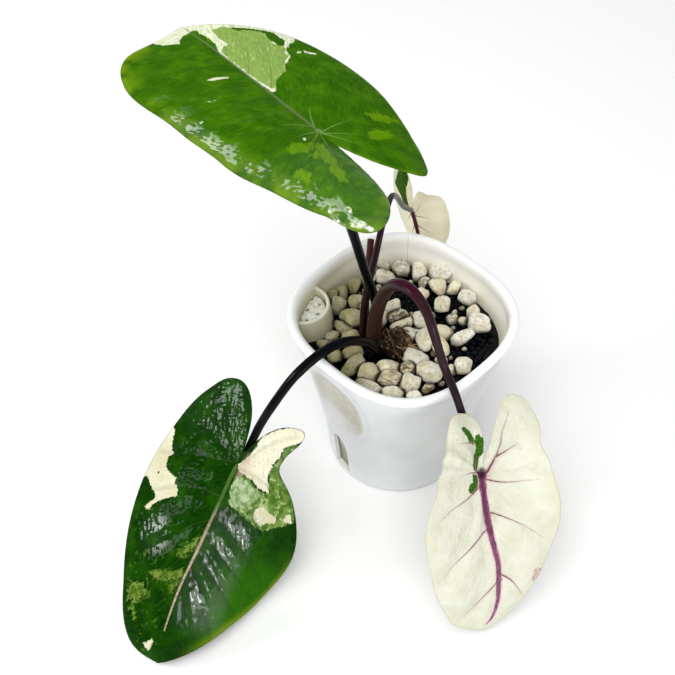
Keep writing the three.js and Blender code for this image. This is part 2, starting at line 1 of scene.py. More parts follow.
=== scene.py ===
import bpy
import numpy as np
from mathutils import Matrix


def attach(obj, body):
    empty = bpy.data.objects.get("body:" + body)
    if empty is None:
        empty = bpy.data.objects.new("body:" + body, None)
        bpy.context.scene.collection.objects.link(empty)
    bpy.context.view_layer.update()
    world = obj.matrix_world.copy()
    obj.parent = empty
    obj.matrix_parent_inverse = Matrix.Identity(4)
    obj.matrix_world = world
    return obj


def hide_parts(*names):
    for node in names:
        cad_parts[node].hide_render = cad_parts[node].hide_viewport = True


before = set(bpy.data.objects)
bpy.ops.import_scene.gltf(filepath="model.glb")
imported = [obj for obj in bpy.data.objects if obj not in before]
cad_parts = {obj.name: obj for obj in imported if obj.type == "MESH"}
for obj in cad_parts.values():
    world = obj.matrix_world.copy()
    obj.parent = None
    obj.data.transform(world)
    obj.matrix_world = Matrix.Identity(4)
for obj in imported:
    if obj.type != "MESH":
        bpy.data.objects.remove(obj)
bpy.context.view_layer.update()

MM = 0.001
UP = np.array([0, 0, 1])

# Camera of the photograph: place, angle below level, and lens for a frame 675 wide
CAMERA_AT = (-31.0, -376.5, 515.5)
CAMERA_DOWN = 49.06
LENS_PX = 1190
FRAME_PX = 675
FILM_WIDE = 36

# The studio: floor in metres, then lamps with place, aim, width, height and power
FLOOR_HALF = 3
FLOOR_Z = -0.0002
FLOOR_COLOUR = (0.93, 0.93, 0.925, 1)
SKY_POWER = 0.38
SUN = {"power": 1.45, "wide": 50, "turned": (19, -14, 0)}
LAMPS = [
    ("left_window", (-620, -80, 380), (-90, -60, 60), 150, 170, 1.3),
    ("right_window", (273, -680, 150), (-88, -103, 36), 440, 200, 0.9),
    ("right_glint", (285, -670, 155), (-88, -103, 36), 70, 60, 0.3),
    ("back_strip", (-169, 365, 608), (-75, -40, 233), 80, 400, 0.6),
    ("front_fill", (-60, -430, 720), (0, 0, 80), 480, 480, 1.65),
]

# The cup
CUP_HEIGHT = 100.0
RIM_HALF = 50.0
BASE_HALF = 35.0
FLARE = 1.35
RIM_SQUARENESS = 0.74
WALL = 2.2
FLOOR_THICK = 3.0
SHAFT = {"radius": 13.3, "wall": 1.8, "top": 94.0, "turn": 167, "out": 0.5, "narrow": 0.75}
LINER_TOP = 91.0
LINER_GAP = 0.4
LINER_MIDDLE = (-42.6, 9.8)
LINER_LEVELS = (88.5, 84, 76, 60, 40, 20, 3.4)
LINER_GRID = (96, 34)
LINER_SUNK = 0.5
LINER_HOLE = {"depth": 1.7, "radius": 0.85}
LINER_HOLES = [(-45.6, 3.6), (-40.4, 7.4), (-45.4, 10.4), (-39.6, 13.8), (-43.6, 17.2)]
GRIP = {"turn": -137, "height": 67, "half_tall": 22, "half_wide": 16.5, "depth": 3.6, "power": 2.6}
SLOT = {"turn": -143.5, "low": 3.6, "spring": 22.0, "top": 33.0, "half_wide": 5.3}

# The cup's mesh. Section points are heights and insets from the outer wall, from the inner floor to the foot
CUP_COLUMNS = 300
WALL_ROWS = (4.0, 92.0, 1.0)
FLOOR_EDGE = [(FLOOR_THICK, WALL + 2.2), (FLOOR_THICK + 0.15, WALL + 1.0), (FLOOR_THICK + 0.6, WALL + 0.2)]
LIP = [(93, 2.75), (94.5, 3.2), (96, 3.6), (97.6, 3.8), (98.7, 3.7), (99.4, 3.3), (99.8, 2.7), (100, 1.9),
       (99.9, 1.1), (99.5, 0.4), (98.9, -0.1), (98, -0.4), (96.8, -0.5), (95.9, -0.42), (95.3, -0.1),
       (94.9, 0.35), (94.3, 0.42), (93.2, 0.2)]
LIP_INSIDE = 6
FOOT = [(3, 0), (2.1, 0.05), (1.2, 0.3), (0.5, 0.8), (0.1, 1.5), (0, 2.6)]

# The water shaft's mesh: lowest and highest row and their number, the lip's heights and insets, the
# degrees searched for its ends, and how deep in the cup's wall its arc ends and its points are held
SHAFT_ROWS = 64
SHAFT_RISE = (2, 93, 40)
SHAFT_LIP = [(93.6, 0.1), (93.95, 0.45), (93.95, 1.35), (93.6, 1.7)]
SHAFT_SEARCH = 120
SHAFT_END = 1.3
SHAFT_HELD = 1.1

# The filling: its mass in rings, and grains in layers of staggered rows
BED_TOP = 82.0
BED_COLUMNS = 160
BED_LEVELS = (3.4, 20, 40, 60, 76, 81.2)
GRAIN_STEP = 3.2
GRAIN_ROW = GRAIN_STEP * 0.87
GRAIN_LAYER = 1.8
GRAIN_SUNK = 1.1
GRAIN_DRIFT = {"level": 0.25, "upright": 0.4}
GRAIN_SIZE = (1.45, 1.85)
GRAIN_START = -49
GRAIN_GRID = (2, 36, 31)
GRAIN_BALL = (5, 9)

# Pebbles: place, half length, half width and turn. Their waves have a height, a wavelength and a seed
PEBBLE_SIZE = 1.08
PEBBLE_POWER = 2.35
PEBBLE_BALL = (25, 38)
PEBBLE_WAVES = [(0.11, 1.9, 100), (0.032, 0.85, 200), (0.017, 0.42, 300), (0.01, 0.2, 400)]
PEBBLES = np.array([
    (-8, 46, 3.8, 3.4, 0), (1, 42, 5, 4.8, 20), (9.5, 40.5, 4.6, 4.4, 60), (21, 41, 6.2, 5, -10),
    (-7, 37, 5, 4, 10), (-23, 31, 4.2, 3.6, 70), (-28.6, 26.6, 3.8, 3, 80), (-33.6, 25.2, 3.2, 3, 0),
    (-31, 17.6, 4.2, 3.8, 30), (-22.6, 19.6, 4.6, 3.4, -15), (-24.4, 9.4, 5.6, 5.2, -40),
    (18.4, 29.6, 4.8, 4.2, -10), (26.6, 30, 4.4, 3.6, 60), (33, 22.6, 4.6, 4.2, 40),
    (20.4, 17.4, 5.6, 4.4, 75), (35.4, 13.2, 4.4, 3.2, 60), (37.6, 5.4, 6, 4.6, -10),
    (20, 0.2, 5, 3.8, 10), (28.6, -2.8, 5.8, 3.2, 25), (-28, 3.6, 5.2, 2.8, -50),
    (-33.6, -2.4, 3.8, 2.8, 20), (-38, -6.8, 3, 2.2, 20), (-24.6, -3.2, 4.6, 3.4, 0),
    (-32.4, -8.2, 3.2, 2.6, -10), (-4.2, 16.2, 4.8, 3.8, 0), (-1.6, 10.8, 5.2, 3.4, 15),
    (1, 5.4, 5.8, 3, 30), (4.2, -0.6, 4.6, 3.8, -20), (10, 24.6, 4, 3.6, 20), (10.2, 7.4, 4.8, 4.6, 0),
    (11, -5.6, 5.2, 5, 50), (18, -9.8, 4.8, 4, -60), (6, -16.2, 5.6, 4.6, -25), (-7.4, -21.8, 6.2, 3.8, 5),
    (1.4, -23.2, 4.4, 3.8, 30), (12, -26, 6.2, 5.2, -10), (2.8, -31.4, 5, 4.6, 0), (-6.6, -28.8, 6.2, 4, 0),
    (-17, -25.6, 5.2, 4.6, 0), (-24, -20.6, 7, 3.8, 30), (-23.6, -12.6, 5, 3.2, 0),
    (-31.8, -15.2, 3.8, 3.2, -30), (-17.6, -33.2, 6.6, 3.2, -30), (-5.4, -36.8, 5.4, 3.2, 0),
    (4.4, -38.6, 3.6, 2.6, 0), (28, -20.6, 4.6, 3.8, 15), (11, -33.6, 3.2, 2.4, 20),
    (-9, 9.6, 4.2, 2.4, 80), (17.6, -17, 3, 2.4, 0), (22.4, -22.4, 2.8, 2.2, 0), (24.6, 9.4, 2.8, 2.2, 0),
    (12.6, 33.6, 3.2, 2.8, 0), (-14.6, 26.2, 4.6, 3.6, 20), (-15.4, 16.4, 4.2, 3.6, 0),
    (-16, 36, 4.2, 3.6, -20), (30.4, 8.4, 2.8, 2, 0),
]) * [1, 1, PEBBLE_SIZE, PEBBLE_SIZE, 1]
BROWN_PEBBLES = [34, 46, 25]
OCHRE_PEBBLES = [1, 37, 51, 50]

# Single grains on the others, with place and radius, and crumbs of pumice between the pebbles
CRUMB_BALL = (7, 11)
STRAY_GRAINS = [(3.5, 46.6, 85.5, 1.3), (30, 27, 83.4, 1.3), (-26, 14, 84.5, 1.2), (6, -8.5, 84.4, 1.3),
                (36.8, -3.4, 83.6, 1.3), (23, -13, 83.3, 1.3)]
CRUMBS = [(26, 13.5, 1.9), (25, 4.5, 1.1), (29.5, -9, 1.2), (15.5, 12.5, 1.5), (5.6, 34.5, 1.6),
          (-14, 41, 1.5), (-27, -7, 1.5), (-20, 13.8, 1.6), (13.6, 15.5, 1.7), (14.5, -0.8, 1.7),
          (-0.5, -34.6, 1.6), (-11.5, -33.5, 1.6), (9.4, -21, 1.5), (6.6, 2.6, 1.7), (-28, -12.4, 1.5),
          (19.4, 35.6, 1.5), (30, 17.2, 1.6), (-19.6, 25.8, 1.9), (-10.4, 31, 1.7), (14.4, -12, 1.6),
          (22.6, -14.4, 1.3), (-34.6, 8.5, 1.6), (-28.6, 21, 1.7), (5, 12.6, 1.7), (-6, 41.4, 1.6),
          (17, -30, 1.5)]

# The corm: lumps with place and radii, strands round each, and roots with path, radius and tint
CORM_LUMPS = [(-3.4, -5, 84, 6, 5.6, 6), (-8.4, -3.4, 82.8, 4.8, 5, 3.8), (-0.4, -8.6, 83, 3.8, 3.6, 4),
              (-5.4, -10.4, 82.6, 4, 2.6, 3.2), (2.2, -3.6, 82.6, 2.6, 3, 2.8),
              (-2.9, -4.4, 89.4, 1.7, 1.5, 1.5)]
LUMP_BALL = (18, 26)
LUMP_STRANDS = (110, 76, 66, 42, 32, 0)
ROOTS = [
    ([(-5, -4, 89.9), (-0.4, -6.4, 89.6), (2.6, -10.2, 86), (3, -12.4, 82.9)], 0.5, 0.1),
    ([(-4, -2, 89.4), (1.6, -3, 88.6), (4.4, -6.4, 85.4), (5, -9.4, 82.9)], 0.42, 0.5),
    ([(-6, -6, 89.6), (-4.4, -10, 88), (-3.8, -12.8, 84), (-3.8, -13.4, 82.9)], 0.42, 0.2),
    ([(-2, -4, 90.2), (-2.6, 0.6, 88.4), (-4, 3, 84), (-4.2, 3.4, 83)], 0.4, 0.2),
]

# Leaf stalks: colours at the crown, along, at the blade, in the lines, and a painted highlight on top of the
# arch; roughness and shine
STALK_SKINS = {
    "black_stalk": ("#040405", "#030306", "#050408", "#0c0c14", "#06060c", 0.34, 0.16),
    "maroon_stalk": ("#38281f", "#2b151b", "#120814", "#442a2b", "#3f0d24", 0.34, 0.2),
    "thin_maroon_stalk": ("#220c0c", "#260d12", "#55505a", "#4d3034", "#260d12", 0.3, 0.3, (0.56, 0.66)),
    "cut_stalk": ("#241010", "#351618", "#4d2828", "#5c3630", "#351618", 0.5, 0.1),
}

# Their middle line, and the radius from the crown to the blade
STALK_STEPS = 140
STALK_SIDES = 28
STALKS = {
    "top_petiole": {
        "path": [(-12.5, 0.6, 76), (-12.5, 0.5, 92), (-13.4, -0.1, 108), (-19.1, -3.5, 133),
                 (-24.8, -7, 160), (-32, -11.4, 192), (-37.4, -14.6, 213), (-38.6, -15.4, 219)],
        "radii": [2.7, 2.2, 2.2, 2], "across": (0.5, -0.86, 0), "slot": "black_stalk",
        "skin": "black_stalk",
    },
    "right_petiole": {
        "path": [(-13.6, -7, 77), (-13.8, -6.7, 94), (-13.2, -7.5, 106), (-11.3, -10.1, 119),
                 (-8.6, -13.7, 130), (-5, -18.5, 138), (-0.6, -24.4, 142), (3.9, -30.4, 141.5),
                 (7.7, -35.6, 137), (11.5, -40.7, 126.7), (15.4, -44.8, 114.6), (20.6, -51.4, 104),
                 (24.4, -57, 94.4), (27.6, -63, 85.6), (30.4, -69.6, 77.8), (31.8, -73.0, 74.3)],
        "radii": [3.7, 3.35, 2.95, 2.35, 1.95, 1.8, 1.7], "across": (0.8, 0.6, 0), "slot": "maroon_stalk",
        "skin": "maroon_stalk",
    },
    "left_petiole": {
        "path": [(-9.4, -12.8, 77), (-10.2, -13.2, 84), (-13.2, -15.2, 91.4), (-18.3, -18.3, 99.5),
                 (-25.3, -24, 106.7), (-32.1, -29.6, 110.4), (-38.4, -34.7, 110.6), (-43.4, -38.4, 109),
                 (-47.9, -41.6, 106.4), (-52.6, -44.2, 101.6), (-60.6, -48.8, 90.2), (-66.3, -51.6, 80),
                 (-70.2, -55.6, 72.8), (-73.3, -60, 68.6), (-75.5, -63.8, 66.9)],
        "radii": [2.8, 2.3, 2.3, 2.2, 2, 1.8], "across": (0.6, -0.8, 0), "slot": "black_stalk",
        "skin": "black_stalk",
    },
    "back_petiole": {
        "path": [(-18.8, -0.4, 77), (-18.8, -0.2, 88), (-18.1, 1.4, 106), (-15, 9.5, 118.4),
                 (-12.7, 15.2, 126.4), (-11, 19.6, 134), (-8.7, 25.4, 141), (-6.2, 32, 143.6),
                 (-3.2, 39.3, 136.6), (0.8, 49.4, 121.6), (4.5, 58.2, 111.4), (6.3, 63, 106.1)],
        "radii": [2, 1.7, 1.5, 1.4, 1.3], "across": (0.9, -0.4, 0), "slot": "maroon_stalk",
        "skin": "thin_maroon_stalk",
    },
    "cut_petiole": {
        "path": [(-17.6, 6, 77), (-17.7, 6, 90), (-17.5, 7.2, 101), (-16.7, 12.4, 113), (-15.4, 21.6, 126.6)],
        "radii": [2, 1.7, 1.6], "across": (1, 0, 0), "slot": "cut_stalk",
        "skin": "cut_stalk",
    },
}

# Leaf blades. Right and left are the reach from the stalk's joint to the edge, at these bearings off the tip.
# Folds and curls of each half are degrees at the lobes, the joint and the tip; veins are paths on the flat
BEARINGS = np.array([0, 10, 22, 38, 58, 80, 102, 124, 142, 155, 165, 173, 180.0])
BLADES = {
    "top_blade": {
        "grid": (520, 84),
        "at": (-38.5, -15.3, 220), "heading": -38, "pitch": -2.5, "roll": 20, "width": 40, "notch": 9,
        "notch_turn": 0, "tip_bend": 9, "lobe_bend": -6, "twist": 19, "sweep": 0.08,
        "fold_right": (-14, -14, 3), "fold_left": (-14, -14, -10),
        "curl_right": (38, 24, 10), "curl_left": (61, 28, 6),
        "right": [109, 100, 90, 75.5, 63, 48, 43.5, 44, 45, 43.5, 31, 15],
        "left": [109, 101, 98, 82, 60, 52, 51, 52, 61, 77.5, 60.5, 30],
        "quilt": 0.3, "lumps": 0.12, "wave": 0.5, "folds": 0, "pillows": [(10, -32, 16, 1.0)],
        "slot": "green_leaf", "wrinkle": 0.07, "wrinkle_room": 13,
        "rib": [(0, 0), (30, 0), (60, 0), (90, 0), (106, 0)], "rib_wide": [1.0, 0.8, 0.6, 0.3],
        "vein_wide": 0.3,
        "veins": [
            [(33.5, 1), (46, 9.5), (57.5, 15.5), (70, 21.5), (83, 28)],
            [(3, 0.5), (12, 5), (22.5, 13), (37, 24.5), (52.5, 36.5), (60, 41)],
            [(18, 0.5), (31, 9), (46, 19), (60, 28), (70, 34)],
            [(50, 0.5), (62, 8), (75, 14.5), (90, 21)],
            [(67, 0.5), (79, 6), (92, 11), (103, 14)],
            [(-2, 0.5), (-5, 6.5), (-9, 13.5), (-14.5, 21.5), (-21.5, 30)],
            [(-1, 0.5), (0.5, 9), (1.5, 20), (3.5, 35.5), (6, 46)],
            [(-2.5, 1), (-12, 7), (-22, 12.5), (-34, 17)],
            [(4, -0.5), (4.5, -10.5), (4.5, -16.5), (4, -25.5), (3.5, -35.5), (5, -50)],
            [(17, -0.5), (17, -12), (15.5, -24), (14.5, -36), (18, -52)],
            [(29.5, -0.5), (29.5, -8), (28, -14.5), (26, -24.5), (25.5, -36), (30, -53)],
            [(42, -0.5), (41.5, -10), (40.5, -20), (40, -32), (45, -54)],
            [(54, -0.5), (51.5, -9.5), (50.5, -20), (50.5, -31.5), (56, -50)],
            [(67, -0.5), (66, -10), (65.5, -20), (67, -32), (73, -44)],
            [(80, -0.5), (80, -8), (81, -16), (85, -26), (89, -34)],
            [(92, -0.5), (93, -6), (96, -13), (99, -20)],
            [(-1, -2), (-5, -14), (-10, -28), (-14, -44)],
            [(-2, -2), (-7, -8), (-16.5, -20.5), (-22.5, -30.5), (-27, -39)],
            [(-3, -1.5), (-16, -8), (-29.5, -14.5), (-44.5, -20.5), (-62, -29)],
            [(-29, -14.5), (-36, -22), (-44, -31), (-50, -37)],
        ],
        "grain_right": 28, "grain_left": 93,
    },
    "right_blade": {
        "grid": (460, 80),
        "at": (32.6, -75, 76.4), "heading": 157.4, "pitch": -50, "roll": -11.3, "width": 32, "notch": 3,
        "notch_turn": 24, "tip_bend": 38, "lobe_bend": -11.5, "twist": -7.4, "sweep": 0.08,
        "fold_right": (-8, -11, -1), "fold_left": (18, -28, -13),
        "curl_right": (1, 6, 13), "curl_left": (-28, -28, 12),
        "right": [83, 77.5, 64, 50, 40, 27.5, 23.2, 24.2, 31.4, 28.7, 24.6, 17.3],
        "left": [83, 75, 60, 48.5, 39.8, 34.4, 31, 30.8, 36.2, 38.6, 33, 13],
        "quilt": 1.2, "lumps": 0.26, "wave": 0.4, "folds": 0.65, "pillows": [(-12, 6, 14, 0.6)],
        "slot": "cream_leaf", "wrinkle": 0, "wrinkle_room": 1,
        "rib": [(0, 0), (9, 1.5), (22.5, 2), (36, 0.5), (44, -1), (55.5, -1.5), (66, -2), (75, -1), (79, 1)],
        "rib_wide": [2.5, 1.75, 1.45, 1.3, 0.85, 0.35],
        "vein_wide": [0.55, 0.55, 0.45, 1.0, 0.45, 0.35, 0.55, 0.5, 0.45, 0.5, 0.4],
        "veins": [
            [(2, 0), (4, -2.5), (6, -7), (7, -11.5), (7.5, -17), (8, -26)],
            [(19, 1), (19.5, -1), (24, -8.5), (29, -15.5), (37, -24.5)],
            [(49, -1), (55, -8), (61.5, -12.5), (67, -16)],
            [(0, 0), (1, -2), (-2, -5), (-5.5, -8), (-11, -11.5), (-15.5, -14), (-22, -20)],
            [(-5.5, -8.5), (-7, -13), (-9.5, -19.5)],
            [(0, 1), (-2, 5.5), (-2.5, 8.5), (-3, 14.5)],
            [(5, 1.5), (6, 4), (8, 11.5), (9.5, 21), (12, 28)],
            [(26, 1.5), (28.5, 9.5), (32.5, 16.5), (36.5, 24), (42, 29)],
            [(53.5, -1), (58.5, 4.5), (64, 10), (70, 16)],
            [(0, 1), (-2, 2.5), (-8, 0.5), (-13.5, 0)],
            [(-13.5, 0), (-15.5, 3.5), (-18, 11)],
        ],
        "grain_right": 50, "grain_left": 50,
    },
    "left_blade": {
        "grid": (520, 84),
        "at": (-76.4, -65.8, 70), "heading": 214.9, "pitch": -30, "roll": -7, "width": 38, "notch": 6,
        "notch_turn": 0, "tip_bend": 30, "lobe_bend": 1.6, "twist": 0.6, "sweep": -0.09,
        "fold_right": (-4, 10.5, -7), "fold_left": (10, 40, 17),
        "curl_right": (28, 17, 37), "curl_left": (30, 5, 63),
        "right": [100.6, 99, 79, 64, 53, 45, 42.5, 40.7, 40.6, 36, 24, 7.6],
        "left": [100.6, 91, 82.5, 77, 61.5, 38.5, 22, 23, 33.5, 28, 18.6, 7.6],
        "quilt": 0.3, "lumps": 0.13, "wave": 0.5, "folds": 0,
        "pillows": [(50, -16, 19, 1.9), (14, 14, 15, 0.7), (62, 14, 16, 0.7), (-12, 12, 14, 0.7)],
        "slot": "dark_green_leaf", "wrinkle": 0.1, "wrinkle_room": 90,
        "rib": [(0, 0), (17, -1), (40, -1.8), (60, -0.8), (84, 0)], "rib_wide": [0.75, 0.7, 0.55, 0.25],
        "vein_wide": 0.25,
        "veins": [
            [(16.5, -1), (19, 13.5), (24, 23.5), (31.5, 34), (38.5, 41)],
            [(0, 1), (3, 10.5), (6, 21.5), (11.5, 35), (14, 42)],
            [(-1, 1), (-5.5, 14), (-9.5, 27.5), (-14, 40)],
            [(-1.5, 1), (-11, 11), (-22.5, 17.5), (-33, 21)],
            [(28, -1), (35.5, 6.5), (48.5, 16), (65, 31)],
            [(42, -1), (49, 3.5), (63.5, 11), (80, 22)],
            [(57, -0.5), (63, 2), (76.5, 7), (92, 13)],
            [(1, -1), (-6.5, -4.5), (-16, -9.5), (-24, -18)],
            [(1.5, -1), (1.5, -10.5), (2.5, -19.5), (4, -30), (6.5, -38)],
            [(11, -1), (16.5, -16.5), (25, -30.5), (36, -48)],
            [(24.5, -1), (28.5, -11.5), (35, -24), (44.5, -36), (52, -50)],
            [(33.5, -1), (41, -14), (48, -25), (58, -39)],
            [(42, -1), (49, -11.5), (59, -22.5), (70, -33)],
            [(51.5, -1), (60.5, -9.5), (71.5, -17), (82, -22)],
            [(62, -1), (73.5, -6.5), (86.5, -10), (94, -11)],
        ],
        "grain_right": 40, "grain_left": 50,
    },
    "back_blade": {
        "grid": (260, 42),
        "at": (6.5, 64, 104.5), "heading": 137.5, "pitch": -70.7, "roll": 38.5, "width": 18, "notch": 4,
        "notch_turn": 17, "tip_bend": 6, "lobe_bend": -20, "twist": -2.5, "sweep": -0.04,
        "fold_right": (55.6, 57.4, 57.8), "fold_left": (-13, 5, 3),
        "curl_right": (26, 14, 23), "curl_left": (10, 14, 16),
        "right": [33, 32, 26.7, 19.8, 16.6, 15.5, 16.6, 18.3, 22, 25.5, 28.5, 16],
        "left": [33, 31.5, 28.3, 25.6, 22, 18.8, 16.8, 14.1, 12, 12.1, 12.2, 11.6],
        "quilt": 0.25, "lumps": 0.08, "wave": 0.2, "folds": 0.15, "pillows": [],
        "slot": "half_cream_leaf", "wrinkle": 0, "wrinkle_room": 1,
        "rib": [(0, 0), (7, -0.5), (20, -0.3), (31, 0)], "rib_wide": [1.0, 0.8, 0.3],
        "vein_wide": 0.32,
        "veins": [
            [(0, 0), (1, -1), (-1, -3.5), (-6, -6.5)],
            [(2, 0), (4.5, -4.5), (7.5, -9.5)],
            [(7.5, -0.5), (11, -3.5), (17, -8)],
            [(14, -0.5), (19, -4), (24, -8)],
            [(0.5, 0), (4, 3), (8, 7)],
            [(0, 0.5), (-6, 2), (-14, 4)],
            [(8, 0), (13, 3.5), (19, 7)],
        ],
        "grain_right": 50, "grain_left": 50,
    },
}
BLADE_THICK = 0.8
LOBE_END = -0.45
GRAIN_STRETCH = 0.22
CREAM_SKIN = {"IOR": 1.42, "Coat_Weight": 0.1, "Coat_Roughness": 0.3, "Subsurface_Weight": 0.12,
              "Subsurface_Scale": 0.0015}

